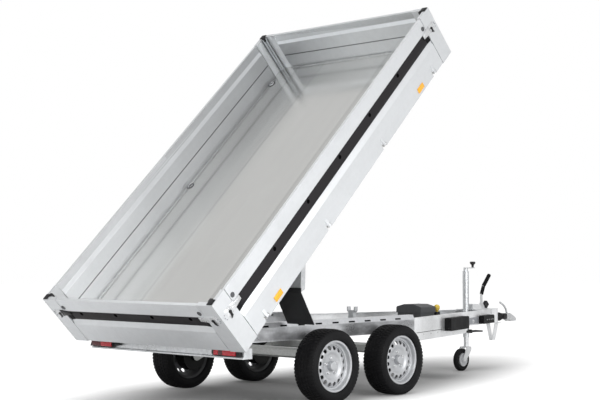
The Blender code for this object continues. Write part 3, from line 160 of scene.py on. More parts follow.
# %% World and floor
SURROUND_LIGHT = 0.5
MIRROR_HEIGHTS = (0.2, 0.65)
MIRROR_LEVELS = (0.92, 0.62)
FLOOR_SIZE = 40.0
WHITE = (1.0, 1.0, 1.0, 1.0)
world = bpy.data.worlds.new("studio")
bpy.context.scene.world = world
world.use_nodes = True
tree = world.node_tree
tree.nodes.clear()
ray = new_node(tree, "LightPath").outputs
seen = math_node(tree, "MAXIMUM", ray["Is Camera Ray"], ray["Is Transmission Ray"])
level = blend(tree, seen, SURROUND_LIGHT, 1.0)
direction = new_node(tree, "TexCoord").outputs["Generated"]
sky_height = new_node(tree, "SeparateXYZ", {0: direction}).outputs["Z"]
mirrored = spread(tree, sky_height, *MIRROR_HEIGHTS, *MIRROR_LEVELS)
level = blend(tree, ray["Is Glossy Ray"], level, mirrored)
background = new_node(tree, "Background", {"Color": WHITE, "Strength": level})
tree.links.new(background.outputs[0], new_node(tree, "OutputWorld").inputs["Surface"])

bpy.ops.object.select_all(action="DESELECT")
bpy.ops.mesh.primitive_circle_add(vertices=96, radius=FLOOR_SIZE, fill_type="NGON", location=(0, 0, 0))
floor = bpy.context.object
floor.name = "studio_floor"
floor_finish = bpy.data.materials.new("studio_floor")
floor_finish.use_nodes = True
floor_tree = floor_finish.node_tree
floor_shader = floor_tree.nodes["Principled BSDF"]
floor_shader.inputs["Roughness"].default_value = 0.9
floor_shader.inputs["Specular IOR Level"].default_value = 0.1
floor.data.materials.append(floor_finish)
print("surround lights the trailer at", SURROUND_LIGHT)

# %% [markdown]
# The floor is white with a painted shadow under the trailer: a soft grey patch in the floor's colour. The
# patch is a stretched, slanted distance from a point, eased from one to zero. Away from it the floor glows a
# little, for the camera's rays only.

# %% The floor's painted shadow
SHADOW_PATCH_MIDDLE = (-0.06, -0.4, 0.0)
SHADOW_PATCH_REACH = (1.17, 3.7, 1.0)
SHADOW_PATCH_SLANT = 0.17
SHADOW_PATCH_EDGE = (0.45, 1.35)
FLOOR_GLOW = 0.55
FLOOR_PALE = (0.96, 0.96, 0.96, 1.0)
PAINTED_SHADOW_GREY = (0.38, 0.38, 0.38, 1.0)
place = new_node(floor_tree, "TexCoord").outputs["Object"]
from_middle = vector_math(floor_tree, "SUBTRACT", place, SHADOW_PATCH_MIDDLE)
turned = {"Vector": from_middle, "Rotation": (0.0, 0.0, -SHADOW_PATCH_SLANT)}
slanted = new_node(floor_tree, "Mapping", turned).outputs[0]
distance = vector_math(floor_tree, "LENGTH", vector_math(floor_tree, "DIVIDE", slanted, SHADOW_PATCH_REACH))
shadow_patch = spread(floor_tree, distance, *SHADOW_PATCH_EDGE, 1.0, 0.0, interpolation_type="SMOOTHSTEP")
# painted shadow: the floor's colour turns grey under the trailer
floor_with_shadow = blend(floor_tree, shadow_patch, FLOOR_PALE, PAINTED_SHADOW_GREY, "RGBA")
floor_tree.links.new(floor_with_shadow, floor_shader.inputs["Base Color"])
glow = spread(floor_tree, shadow_patch, 0.0, 1.0, FLOOR_GLOW, 0.0)
to_camera = new_node(floor_tree, "LightPath").outputs["Is Camera Ray"]
floor_shader.inputs["Emission Color"].default_value = WHITE
floor_tree.links.new(product(floor_tree, glow, to_camera), floor_shader.inputs["Emission Strength"])
print("patch reaches", SHADOW_PATCH_REACH[:2], "m from", SHADOW_PATCH_MIDDLE[:2])

# %% Lamps
LAMPS = (
    # name, place, aims at, size, power
    ("overhead", (0.5, -0.5, 6.5), (0.0, 0.2, 0.8), 5.0, 190.0),
    ("beside", (6.4, -1.2, 2.4), (0.3, 0.3, 1.0), 3.5, 190.0),
    ("behind", (0.6, -5.0, 0.9), (-0.1, -2.2, 0.8), 1.4, 32.0),
    ("key", (2.0, -3.8, 2.3), (-0.8, -1.9, 0.9), 1.2, 55.0),
)
for name, place, target, size, power in LAMPS:
    lamp_data = bpy.data.lights.new(name, "AREA")
    lamp_data.shape = "DISK"
    lamp_data.size = size
    lamp_data.energy = power
    lamp = bpy.data.objects.new(name, lamp_data)
    bpy.context.scene.collection.objects.link(lamp)
    lamp.location = place
    # the shiny bed floor would mirror the overhead lamp as a white disc
    lamp.visible_glossy = name != "overhead"
    lamp.rotation_euler = (Vector(target) - Vector(place)).to_track_quat("-Z", "Y").to_euler()
print("lamps:", len(LAMPS))

# %% [markdown]
# Metal sheet is never one even grey: zinc grows as crystals, and rolling leaves faint streaks. Several
# finishes use these effects, so each is a node group with a few inputs. A group gives out only values,
# and each material keeps its own Principled shader.

# %% Zinc crystals, rolling streaks and fine grain
def new_group(name, size_label, size_kind, size, depth):
    """A node group that takes a place, a size and a depth, and gives out a shade and a height."""
    group = bpy.data.node_groups.new(name, "ShaderNodeTree")
    sockets = (("Vector", "Vector", None), (size_label, size_kind, size), ("Depth", "Float", depth))
    for label, kind, value in sockets:
        socket = group.interface.new_socket(label, in_out="INPUT", socket_type="NodeSocket" + kind)
        if value is not None:
            socket.default_value = value
    for label in ("Shade", "Height"):
        group.interface.new_socket(label, in_out="OUTPUT", socket_type="NodeSocketFloat")
    return group, group.nodes.new("NodeGroupInput").outputs, group.nodes.new("NodeGroupOutput").inputs


def give_out(group, end, height, middle, depth):
    """The height goes out as it is, and as a shade that is one at the middle height."""
    change = product(group, math_node(group, "SUBTRACT", height, middle), depth)
    group.links.new(math_node(group, "ADD", change, 1.0), end["Shade"])
    group.links.new(height, end["Height"])


zinc, given, end = new_group("zinc_crystals", "Size", "Float", 60.0, 0.15)
cells = new_node(zinc, "TexVoronoi", {"Vector": given["Vector"], "Scale": given["Size"]}).outputs["Color"]
cell_grey = new_node(zinc, "SeparateColor", {"Color": cells}).outputs[0]
cloud = new_node(zinc, "TexNoise", {"Vector": given["Vector"], "Scale": 5.0, "Detail": 4.0}).outputs[0]
mixed = math_node(zinc, "ADD", product(zinc, cell_grey, 0.5), product(zinc, cloud, 0.9))
give_out(zinc, end, mixed, 0.7, given["Depth"])

streaks, given, end = new_group("rolling_streaks", "Stretch", "Vector", (30.0, 1.0, 30.0), 0.1)
stretched = vector_math(streaks, "MULTIPLY", given["Vector"], given["Stretch"])
lines = new_node(streaks, "TexNoise", {"Vector": stretched, "Scale": 1.0, "Detail": 3.0}).outputs[0]
give_out(streaks, end, lines, 0.5, given["Depth"])

grain, given, end = new_group("fine_grain", "Size", "Float", 400.0, 0.1)
fine = {"Vector": given["Vector"], "Scale": given["Size"], "Detail": 2.0}
speck = new_node(grain, "TexNoise", fine).outputs[0]
give_out(grain, end, speck, 0.5, given["Depth"])
print("node groups:", [group.name for group in bpy.data.node_groups])

# %% A finish and what can be done to it
class Finish:
    """A material with Object coordinates, turned about X where a pattern follows the tipped bed."""

    def __init__(self, name, colour, roughness, metallic, turned=0.0):
        self.colour = colour
        self.material = bpy.data.materials.new(name)
        self.material.use_nodes = True
        self.tree = self.material.node_tree
        self.shader = self.tree.nodes["Principled BSDF"].inputs
        self.shader["Base Color"].default_value = (*colour, 1.0)
        self.shader["Roughness"].default_value = roughness
        self.shader["Metallic"].default_value = metallic
        place = new_node(self.tree, "TexCoord").outputs["Object"]
        mapping = new_node(self.tree, "Mapping", {"Vector": place, "Rotation": (-turned, 0.0, 0.0)})
        self.vector = mapping.outputs["Vector"]

    def axis(self, letter):
        """One coordinate of the place."""
        return new_node(self.tree, "SeparateXYZ", {0: self.vector}).outputs[letter]

    def effect(self, group, **values):
        """The outputs of a node group placed in the material."""
        return new_node(self.tree, "Group", {"Vector": self.vector, **values}, node_tree=group).outputs

    def shade(self, *shades):
        """Multiplies the colour by shades."""
        inputs = {0: self.colour, "Scale": product(self.tree, *shades)}
        scaled = new_node(self.tree, "VectorMath", inputs, operation="SCALE").outputs[0]
        self.tree.links.new(scaled, self.shader["Base Color"])

    def vary(self, label, value, *spans):
        """Lets a value drive one of the shader's inputs."""
        self.tree.links.new(spread(self.tree, value, *spans), self.shader[label])

    def bump(self, height, strength, distance):
        """A bump from a height."""
        inputs = {"Strength": strength, "Distance": distance, "Height": height}
        self.tree.links.new(new_node(self.tree, "Bump", inputs).outputs[0], self.shader["Normal"])


print("finishes can be made")

# %% [markdown]
# The walls and posts are smooth zinc-coated sheet. They look satin, with slow waves where the thin sheet
# isn't flat. The floor inside is a harder, shinier sheet that mirrors the walls softly.

# %% Painted light on the inside of the walls
SEAM_UP = 0.2215
SEAM_HALF = 0.0045
SEAM_SHADE = 0.35
INSIDE_FROM = 0.022
RAIL_FROM = 0.372
SLOPE_UP = 0.3525
SLOPE_HALF = 0.0145
BED_ORIGIN = BED_PLACE.inverted() @ Vector((0, 0, 0))


def inner_shade(finish, axis, shade_span, slope, rail):
    """A dark seam, an even painted reflection of the sky on the slope, painted shade on the rail, and painted
    shade that grows along one axis of the bed.
    """
    tree = finish.tree
    where = new_node(tree, "SeparateXYZ", {0: vector_math(tree, "ADD", finish.vector, BED_ORIGIN)}).outputs
    in_x = math_node(tree, "LESS_THAN", away(tree, where["X"]), HALF - INSIDE_FROM)
    in_y = math_node(tree, "LESS_THAN", away(tree, where["Y"], BED_LENGTH / 2), BED_LENGTH / 2 - INSIDE_FROM)
    seam = spread(tree, away(tree, where["Z"], SEAM_UP), SEAM_HALF * 0.6, SEAM_HALF * 1.4, SEAM_SHADE, 1.0)
    from_slope = away(tree, where["Z"], SLOPE_UP)
    on_slope = spread(tree, from_slope, SLOPE_HALF - 0.002, SLOPE_HALF + 0.003, 1.0, 0.0)
    # painted shade along the axis, except on the slope, which keeps an even painted reflection of the sky
    plain = product(tree, spread(tree, where[axis], *shade_span), math_node(tree, "SUBTRACT", 1.0, on_slope))
    depth = math_node(tree, "ADD", plain, product(tree, on_slope, slope))
    # painted shade on the rail
    on_rail = spread(tree, where["Z"], RAIL_FROM - 0.004, RAIL_FROM + 0.004, 1.0, rail)
    change = math_node(tree, "SUBTRACT", product(tree, seam, depth, on_rail), 1.0)
    # one outside the bed, the painted light inside it
    return math_node(tree, "ADD", 1.0, product(tree, in_x, in_y, change))


print("seam at", SEAM_UP, "m, slope at", SLOPE_UP, "m")

# %% Wall sheet and bed floor
def wall_finish(name, colour, roughness, metallic, wave, shade=None):
    finish = Finish(name, colour, roughness, metallic, TIP_ANGLE)
    lines = finish.effect(streaks, Stretch=(18.0, 1.2, 18.0), Depth=0.1)
    crystals = finish.effect(zinc, Size=45.0, Depth=0.05)
    finish.shade(lines["Shade"], crystals["Shade"], *([inner_shade(finish, *shade)] if shade else []))
    slow = {"Vector": finish.vector, "Scale": 3.0, "Detail": 2.0}
    waves = new_node(finish.tree, "TexNoise", slow).outputs[0]
    finish.vary("Roughness", waves, 0.3, 0.7, roughness - 0.06, roughness + 0.08)
    finish.bump(waves, 0.35, wave)
    return finish.material


# axis, then the span in bed metres and its painted shades, then the slope's painted reflection and the rail's
# painted shade
SIDE_SHADE = ("Y", (0.25, 2.9, 1.14, 0.66), 0.92, 0.96)
FRONT_SHADE = ("X", (-0.8, 0.1, 0.6, 1.08), 1.4, 0.56)
WALL = wall_finish("wall_sheet", (0.62, 0.635, 0.65), 0.42, 0.55, 0.02, SIDE_SHADE)
INNER_FRONT = wall_finish("front_wall_sheet", (0.64, 0.66, 0.675), 0.34, 0.65, 0.03, FRONT_SHADE)
POST_SHEET = wall_finish("post_sheet", (0.62, 0.635, 0.65), 0.38, 0.6, 0.02)
COVER_SHEET = wall_finish("cover_sheet", (0.33, 0.35, 0.365), 0.44, 0.5, 0.02)

# The floor sheet is painted darker towards the side walls, with two darker lines along it on each side:
# painted shade on its reflection of the walls.
REFLECTION_SHADE_LINES = ((0.355, 0.9), (0.65, 0.86))
finish = Finish("bed_floor_sheet", (0.8, 0.8, 0.785), 0.16, 0.96, TIP_ANGLE)
lines = finish.effect(streaks, Stretch=(14.0, 0.5, 14.0), Depth=0.05)
blotch = finish.effect(streaks, Stretch=(1.6, 1.1, 1.6), Depth=0.12)
aside = away(finish.tree, finish.axis("X"))
reflection_shade = [spread(finish.tree, aside, 0.33, 0.4, 1.0, 0.9)]
for x, shade in REFLECTION_SHADE_LINES:
    reflection_shade.append(spread(finish.tree, away(finish.tree, aside, x), 0.006, 0.022, shade, 1.0))
finish.shade(lines["Shade"], blotch["Shade"], *reflection_shade)
finish.vary("Roughness", blotch["Height"], 0.35, 0.65, 0.13, 0.2)
BED_SHEET = finish.material
print("sheet finishes:", WALL.name, INNER_FRONT.name, BED_SHEET.name)

# %% Chassis steel
def galvanised(name, colour, roughness, size, depth):
    finish = Finish(name, colour, roughness, 0.8)
    crystals = finish.effect(zinc, Size=size, Depth=depth)
    runs = finish.effect(streaks, Stretch=(6.0, 6.0, 1.5), Depth=0.35)
    finish.shade(crystals["Shade"], runs["Shade"])
    finish.vary("Roughness", runs["Height"], 0.35, 0.65, roughness - 0.1, roughness + 0.14)
    finish.bump(crystals["Height"], 0.25, 0.004)
    return finish.material


GALVANISED = galvanised("hot_dip_zinc", (0.6, 0.615, 0.63), 0.34, 70.0, 0.3)
BRIGHT_STEEL = galvanised("bright_zinc", (0.66, 0.67, 0.68), 0.26, 120.0, 0.12)
DRAWBAR_ZINC = galvanised("drawbar_zinc", (0.84, 0.85, 0.86), 0.38, 70.0, 0.15)

# The chassis sides are darker and cloudy between their folds: a painted reflection of the dark ground, broken
# up by noise.
FRAME_FOLD = 0.541
FRAME_LOW_FOLD = 0.452
finish = Finish("zinc_painted_reflection", (0.6, 0.61, 0.63), 0.34, 0.75)
tree = finish.tree
crystals = finish.effect(zinc, Size=70.0, Depth=0.2)
cloud = finish.effect(streaks, Stretch=(5.0, 3.2, 9.0), Depth=1.0)
height = finish.axis("Z")
under_fold = spread(tree, height, FRAME_FOLD - 0.004, FRAME_FOLD + 0.002, 1.0, 0.0)
over_fold = spread(tree, height, FRAME_LOW_FOLD - 0.003, FRAME_LOW_FOLD + 0.004, 0.0, 1.0)
painted_dark_reflection = product(tree, under_fold, over_fold, spread(tree, cloud["Height"], 0.4, 0.58, 0.46, 0.02))
finish.shade(crystals["Shade"], math_node(tree, "SUBTRACT", 1.0, painted_dark_reflection))
finish.vary("Roughness", cloud["Height"], 0.35, 0.65, 0.26, 0.44)
finish.bump(crystals["Height"], 0.25, 0.004)
CHASSIS_SIDE = finish.material
print("chassis finishes:", GALVANISED.name, BRIGHT_STEEL.name, DRAWBAR_ZINC.name, CHASSIS_SIDE.name)

# %% [markdown]
# Plastics and rubber have a fine grain that breaks up their gloss. Painted steel is smoother.
# The lamp lenses and the reflectors are clear coloured plastic over a pattern of small prisms.

# %% Plastics, rubber and paint
def grained(name, colour, roughness, size, depth, bump, metallic=0.0, gloss=0.5):
    finish = Finish(name, colour, roughness, metallic)
    finish.shader["Specular IOR Level"].default_value = gloss
    fine = finish.effect(grain, Size=size, Depth=depth)
    cloudy = finish.effect(grain, Size=9.0, Depth=depth)
    finish.shade(fine["Shade"], cloudy["Shade"])
    finish.vary("Roughness", cloudy["Height"], 0.3, 0.7, roughness - 0.05, roughness + 0.07)
    finish.bump(fine["Height"], 0.3, bump)
    return finish.material


STRIP = grained("anthracite_strip", (0.016, 0.0145, 0.016), 0.55, 500.0, 0.25, 0.0006, gloss=0.14)
POCKET_DARK = grained("pocket_shade", (0.002, 0.002, 0.002), 0.75, 300.0, 0.3, 0.0004, gloss=0.0)
BLACK_PLASTIC = grained("black_plastic", (0.009, 0.009, 0.01), 0.42, 600.0, 0.3, 0.0006, gloss=0.3)
DEEP_BLACK = grained("deep_black_rubber", (0.004, 0.004, 0.0045), 0.55, 600.0, 0.3, 0.0006, gloss=0.12)
DARK_PLASTIC = grained("dark_plastic", (0.068, 0.07, 0.074), 0.5, 600.0, 0.3, 0.0006, gloss=0.35)
TYRE_RUBBER = grained("tyre_rubber", (0.006, 0.006, 0.0066), 0.62, 350.0, 0.5, 0.001, gloss=0.14)
FLAP_RUBBER = grained("flap_rubber", (0.012, 0.012, 0.013), 0.5, 250.0, 0.3, 0.0008, gloss=0.22)
BLACK_PAINT = grained("black_paint", (0.009, 0.009, 0.01), 0.38, 120.0, 0.4, 0.0008, 0.2, 0.3)
WHEEL_PAINT = grained("wheel_silver", (0.47, 0.48, 0.495), 0.42, 900.0, 0.1, 0.0003, 0.5)
YELLOW = grained("yellow_plastic", (0.66, 0.47, 0.06), 0.42, 500.0, 0.2, 0.0005)
GREY_PLATE = grained("grey_plate", (0.3, 0.31, 0.33), 0.45, 500.0, 0.2, 0.0005, 0.3)
print("grained finishes are ready")

# %% Finishes with two parts
# A rim is silver where it faces out, and much darker on its inner barrel.
RIM_FACE_FROM = 0.776
finish = Finish("rim_silver", (0.47, 0.48, 0.495), 0.42, 0.5)
fine = finish.effect(grain, Size=900.0, Depth=0.1)
outward = away(finish.tree, finish.axis("X"))
inner_darker = spread(finish.tree, outward, RIM_FACE_FROM - 0.006, RIM_FACE_FROM + 0.002, 0.1, 1.0)
finish.shade(fine["Shade"], inner_darker)
finish.bump(fine["Height"], 0.3, 0.0003)
RIM_PAINT = finish.material

# An axle is bright zinc between the wheels, and its arms, drums and hubs are black.
DRUM_FROM = 0.605
finish = Finish("axle_steel", (0.55, 0.56, 0.55), 0.36, 0.7)
crystals = finish.effect(zinc, Size=90.0, Depth=0.25)
drum_part = math_node(finish.tree, "GREATER_THAN", away(finish.tree, finish.axis("X")), DRUM_FROM)
finish.shade(crystals["Shade"], spread(finish.tree, drum_part, 0.0, 1.0, 1.0, 0.02))
finish.vary("Roughness", drum_part, 0.0, 1.0, 0.36, 0.5)
finish.bump(crystals["Height"], 0.25, 0.003)
AXLE_STEEL = finish.material

# The jockey wheel's crank is a zinc-plated arm, and its knob above the arm is black plastic.
CRANK_ARM_TOP = 0.9395
finish = Finish("crank_and_knob", (0.55, 0.56, 0.57), 0.4, 0.5)
crystals = finish.effect(zinc, Size=120.0, Depth=0.15)
upright = finish.axis("Z")
on_arm = spread(finish.tree, upright, CRANK_ARM_TOP - 0.0005, CRANK_ARM_TOP + 0.0005, 1.0, 0.015)
finish.shade(crystals["Shade"], on_arm)
finish.vary("Metallic", upright, CRANK_ARM_TOP, CRANK_ARM_TOP + 0.001, 0.5, 0.0)
CRANK = finish.material
print("finishes with two parts:", RIM_PAINT.name, AXLE_STEEL.name, CRANK.name)

# %% Lenses
def lens_finish(name, colour, size):
    finish = Finish(name, colour, 0.12, 0.0)
    prisms = new_node(finish.tree, "TexVoronoi", {"Scale": size, "Vector": finish.vector}).outputs["Distance"]
    finish.shade(spread(finish.tree, prisms, 0.0, 0.6, 0.75, 1.35))
    finish.shader["Coat Weight"].default_value = 0.2
    finish.bump(prisms, 0.4, 0.002)
    return finish.material


RED_LENS = lens_finish("red_lens", (0.3, 0.004, 0.012), 160.0)
DARK_RED_LENS = lens_finish("dark_red_lens", (0.055, 0.001, 0.003), 160.0)
AMBER_LENS = lens_finish("amber_lens", (0.66, 0.31, 0.02), 200.0)
print("finishes:", len(bpy.data.materials))

# %% [markdown]
# Each solid of the frame keeps its shape and gets its finish by name. The walls are smooth sheet, the
# chassis is hot-dip zinc, and moving steel parts are brighter.

# %% Finishes of the solids
FINISH_OF = (
    # finish, and how the names of its solids begin
    (AXLE_STEEL, "axle"),
    (BED_SHEET, "bed_floor"),
    (GALVANISED, "bed_subframe crossmember jockey_tube light_bar mud_guard pack_tray"),
    (BRIGHT_STEEL, "coupling_head cylinder_rod handbrake_lever jockey_leg"),
    (BLACK_PAINT, "cylinder_barrel"),
    (DRAWBAR_ZINC, "drawbar nose_skid"),
    (CHASSIS_SIDE, "frame_side"),
    (INNER_FRONT, "front_wall"),
    (YELLOW, "hand_pump"),
    (CRANK, "jockey_crank"),
    (TYRE_RUBBER, "jockey_wheel tyre"),
    (FLAP_RUBBER, "mud_flap overrun_tube"),
    (POST_SHEET, "post"),
    (DARK_PLASTIC, "power_pack"),
    (BLACK_PLASTIC, "rear_lamp"),
    (WHEEL_PAINT, "rim"),
    (WALL, "side tailgate"),
    (DEEP_BLACK, "wheel_chock"),
)
for name, node in frame["nodes"].items():
    finish = next(finish for finish, starts in FINISH_OF if name.startswith(tuple(starts.split())))
    for material_slot in node.material_slots:
        material_slot.material = finish
print("solids finished:", len(frame["nodes"]))

# %% [markdown]
# The fine pieces are modelled as by hand: a primitive is added, shaped in edit mode and finished with
# modifiers. Everything is deselected first, because an operator acts on all that is selected. A finished
# piece sits at the origin with its place in its mesh.

# %% Modelling helpers
def deselect_all():
    bpy.ops.object.select_all(action="DESELECT")


def make_active(thing):
    deselect_all()
    thing.select_set(True)
    bpy.context.view_layer.objects.active = thing


def settle(thing):
    """Moves an object's place, turn and size into its mesh."""
    make_active(thing)
    bpy.ops.object.transform_apply(location=True, rotation=True, scale=True)
    return thing


def discard(*things):
    for thing in things:
        bpy.data.objects.remove(thing)


def block(low, high):
    """A box primitive between two corners."""
    deselect_all()
    bpy.ops.mesh.primitive_cube_add(size=1.0, location=[(a + b) / 2 for a, b in zip(low, high)])
    thing = bpy.context.object
    thing.scale = [b - a for a, b in zip(low, high)]
    return settle(thing)


TURN_TO = {"X": (0.0, math.pi / 2, 0.0), "Y": (-math.pi / 2, 0.0, 0.0), "Z": (0.0, 0.0, 0.0)}


def disc(centre, radius, length, axis="Z", sides=24):
    """A cylinder primitive about an axis, centred on a point."""
    deselect_all()
    bpy.ops.mesh.primitive_cylinder_add(
        vertices=sides, radius=radius, depth=length, location=centre, rotation=TURN_TO[axis]
    )
    return settle(bpy.context.object)


@contextmanager
def edited_faces(thing, which):
    """Edit mode with only the faces that look along "+X" or "-X", along "X" either way, or pass a test."""
    test = which
    if isinstance(which, str):
        sign, axis = which[:-1], "XYZ".index(which[-1])

        def test(centre, normal):
            return {"+": normal[axis], "-": -normal[axis], "": abs(normal[axis])}[sign] > 0.9

    make_active(thing)
    bpy.context.tool_settings.mesh_select_mode = (False, False, True)
    for part in (*thing.data.vertices, *thing.data.edges):
        part.select = False
    for face in thing.data.polygons:
        face.select = bool(test(face.center, face.normal))
    bpy.ops.object.mode_set(mode="EDIT")
    yield
    bpy.ops.object.mode_set(mode="OBJECT")


def tapered(thing, which, scale):
    """Scales the faces that look one way."""
    with edited_faces(thing, which):
        bpy.ops.transform.resize(value=scale)
    return thing


def stepped(thing, which, *steps):
    """Insets the faces that look one way and moves what is inside, once for each step."""
    with edited_faces(thing, which):
        for thickness, move in steps:
            bpy.ops.mesh.inset(thickness=thickness, depth=0.0)
            bpy.ops.transform.translate(value=move)
    return thing


def dished(thing, which, rim, slope, depth):
    """Leaves a rim around a face and lowers what is inside it."""
    with edited_faces(thing, which):
        bpy.ops.mesh.inset(thickness=rim, depth=0.0)
        bpy.ops.mesh.inset(thickness=slope, depth=-depth)
    return thing


def drawn_out(thing, which, move, scale):
    """Extrudes the faces that look one way and scales their end."""
    with edited_faces(thing, which):
        bpy.ops.mesh.extrude_region_move(TRANSFORM_OT_translate={"value": move})
        bpy.ops.transform.resize(value=scale)
    return thing


def with_modifier(thing, kind, **settings):
    """Adds a modifier and applies it at once."""
    make_active(thing)
    modifier = thing.modifiers.new(kind.lower(), kind)
    for label, value in settings.items():
        setattr(modifier, label, value)
    bpy.ops.object.modifier_apply(modifier=modifier.name)
    return thing


def rounded(thing, width, segments=2, angle=40.0):
    """Bevels the edges sharper than an angle."""
    limit = {"limit_method": "ANGLE", "angle_limit": math.radians(angle)}
    return with_modifier(thing, "BEVEL", width=width, segments=segments, **limit)


def bored(thing, *cutters):
    """Cuts the cutters out of a piece and deletes them."""
    for cutter in cutters:
        with_modifier(thing, "BOOLEAN", operation="DIFFERENCE", object=cutter)
        discard(cutter)
    return thing


def joined(*things):
    """Several pieces as one object; each keeps its own closed shape."""
    make_active(things[0])
    for thing in things[1:]:
        thing.select_set(True)
    bpy.ops.object.join()
    return bpy.context.object


def copy_of(thing, place):
    """A copy with its own mesh, moved by a matrix; a mirrored one gets its faces turned out again."""
    mesh = thing.data.copy()
    mesh.transform(place)
    if place.determinant() < 0:
        mesh.flip_normals()
    twin = bpy.data.objects.new(thing.name, mesh)
    bpy.context.scene.collection.objects.link(twin)
    return twin


def moved(thing, place):
    """Moves a piece's mesh by a matrix."""
    thing.data.transform(place)
    return thing


def finished(thing, name, material, body, smooth=35.0):
    """Names a piece, gives it its finish and lets it ride on a body of the frame."""
    thing.name = name
    thing.data.name = name
    thing.data.materials.clear()
    thing.data.materials.append(material)
    make_active(thing)
    bpy.ops.object.shade_smooth_by_angle(angle=math.radians(smooth))
    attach(thing, body)
    return thing


def put(pattern, place, *settings):
    """A finished copy of a pattern, moved by a matrix."""
    return finished(copy_of(pattern, place), *settings)


MIRROR_X = Matrix.Scale(-1, 4, (1, 0, 0))
print("helpers are ready")

# %% [markdown]
# Each wall has a long recess with an anthracite strip in it, which has a row of round holes for hooks.
# A strip is a flat block with shallow round pockets. Their floors get a darker finish, because the eye
# sees only shade in them.

# %% Strips in the walls' recesses
STRIP_LOW = 0.2285
STRIP_HIGH = 0.3125
STRIP_FACE = 0.0085
STRIP_INSET = 0.184
RECESS_FLOOR = 0.0127
HOLE_UP = 0.286
HOLE_RADIUS = 0.0155
SIDE_HOLE_PITCH = 0.465
TAIL_HOLE_PLACES = (-0.578, -0.193, 0.193, 0.578)


def wall_strip(length, hole_places):
    """A strip along X, centred, its outer face towards -Y at the wall's outer plane Y = 0."""
    strip = block((-length / 2, STRIP_FACE, STRIP_LOW), (length / 2, RECESS_FLOOR, STRIP_HIGH))
    rounded(strip, 0.0012)
    for x in hole_places:
        bored(strip, disc((x, STRIP_FACE, HOLE_UP), HOLE_RADIUS, 0.006, "Y", 20))
    strip.data.materials.append(STRIP)
    strip.data.materials.append(POCKET_DARK)
    for face in strip.data.polygons:
        across = min(math.hypot(face.center.x - x, face.center.z - HOLE_UP) for x in hole_places)
        face.material_index = int(across < HOLE_RADIUS * 1.02 and face.center.y > STRIP_FACE + 0.0004)
    make_active(strip)
    bpy.ops.object.shade_smooth_by_angle(angle=math.radians(35))
    return strip


def on_wall(wall):
    """The matrix that takes a piece from the X axis to a wall of the tipped bed."""
    turns = {
        "right": Matrix.Translation((HALF, BED_LENGTH / 2, 0)) @ Matrix.Rotation(math.pi / 2, 4, "Z"),
        "left": Matrix.Translation((-HALF, BED_LENGTH / 2, 0)) @ Matrix.Rotation(-math.pi / 2, 4, "Z"),
        "rear": Matrix.Identity(4),
        "front": Matrix.Translation((0, BED_LENGTH, 0)) @ Matrix.Rotation(math.pi, 4, "Z"),
    }
    return BED_PLACE @ turns[wall]


side_strip = wall_strip(BED_LENGTH - 2 * STRIP_INSET, [(k - 3) * SIDE_HOLE_PITCH for k in range(7)])
tail_strip = wall_strip(BED_WIDTH - 2 * STRIP_INSET, TAIL_HOLE_PLACES)
WALLS = (
    # wall, pattern, body, length between the posts
    ("right", side_strip, "side_right", BED_LENGTH - 2 * POST_LEG),
    ("left", side_strip, "side_left", BED_LENGTH - 2 * POST_LEG),
    ("rear", tail_strip, "tailgate", BED_WIDTH - 2 * POST_LEG),
    ("front", tail_strip, "bed", BED_WIDTH - 2 * POST_LEG),
)
for wall, pattern, body, length in WALLS:
    strip = copy_of(pattern, on_wall(wall))
    strip.name = strip.data.name = "strip_" + wall
    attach(strip, body)
discard(side_strip, tail_strip)
print("strips:", len(WALLS), "with", 7 + 7 + 4 + 4, "holes")

# %% [markdown]
# Where a strip ends, a block of deeper black fills the recess towards the corner post: painted shade at the
# recess's end.

# %% Painted shade at the strips' ends
def recess_end_shade(end):
    # a near-black block that stands for the shade in the recess's end
    shade_block = block((end - 0.04, 0.003, 0.228), (end, RECESS_FLOOR, STRIP_HIGH + 0.0005))
    with edited_faces(shade_block, "-X"):
        bpy.ops.transform.translate(value=(-0.006, 0.004, 0.0))
    return rounded(shade_block, 0.0012)


for wall, pattern, body, length in WALLS:
    near = recess_end_shade(length / 2 - 0.0055)
    end_shades = joined(near, copy_of(near, MIRROR_X))
    finished(moved(end_shades, on_wall(wall)), "recess_end_shade_" + wall, DEEP_BLACK, body)
print("plugs:", 2 * len(WALLS))

# %% [markdown]
# Over-centre latches hold the walls to the posts. Each has a bright tongue from the post over the strip's
# end, a dark hook with its pin, and a finger hollow above it in the rail. One latch is modelled along X,
# with its tip towards -X, and is then copied to the eight places.

# %% One latch
LATCH_UP = 0.292
LATCH_STEP = 0.0024
LATCH_BACK = 0.0004
LATCH_LOW = 0.268
LATCH_HIGH = 0.33
LATCH_FROM_CORNER = 0.085


def latch_tongue():
    """Chamfered bright plate on the wall, over the strip's end."""
    plate = block((-0.128, -LATCH_STEP, LATCH_LOW), (-0.02, LATCH_BACK, LATCH_HIGH))
    return raised(tapered(plate, "-X", (1.0, 1.0, 0.55)))


def raised(plate):
    """Raises the middle of a plate's outer face, as pressed sheet, and softens its edges."""
    with edited_faces(plate, "-Y"):
        bpy.ops.mesh.inset(thickness=0.006, depth=0.0)
        bpy.ops.mesh.extrude_region_shrink_fatten(TRANSFORM_OT_shrink_fatten={"value": 0.0018})
    return rounded(plate, 0.0007, 2, 25)


def latch_base():
    """Bright plate on the post that carries the hook."""
    return raised(block((-0.014, -LATCH_STEP, LATCH_LOW), (0.04, LATCH_BACK, LATCH_HIGH)))


def latch_hook():
    """Dark hook: a pin head with a short arm that turns down."""
    pin = rounded(disc((0.0, -0.006, LATCH_UP + 0.004), 0.0105, 0.01, "Y", 20), 0.0014)
    arm = block((-0.006, -0.0085, LATCH_UP - 0.03), (0.01, -0.0026, LATCH_UP + 0.002))
    drawn_out(arm, "-Z", (0.014, 0.0, -0.008), (0.7, 1.0, 1.0))
    return joined(pin, rounded(arm, 0.001))


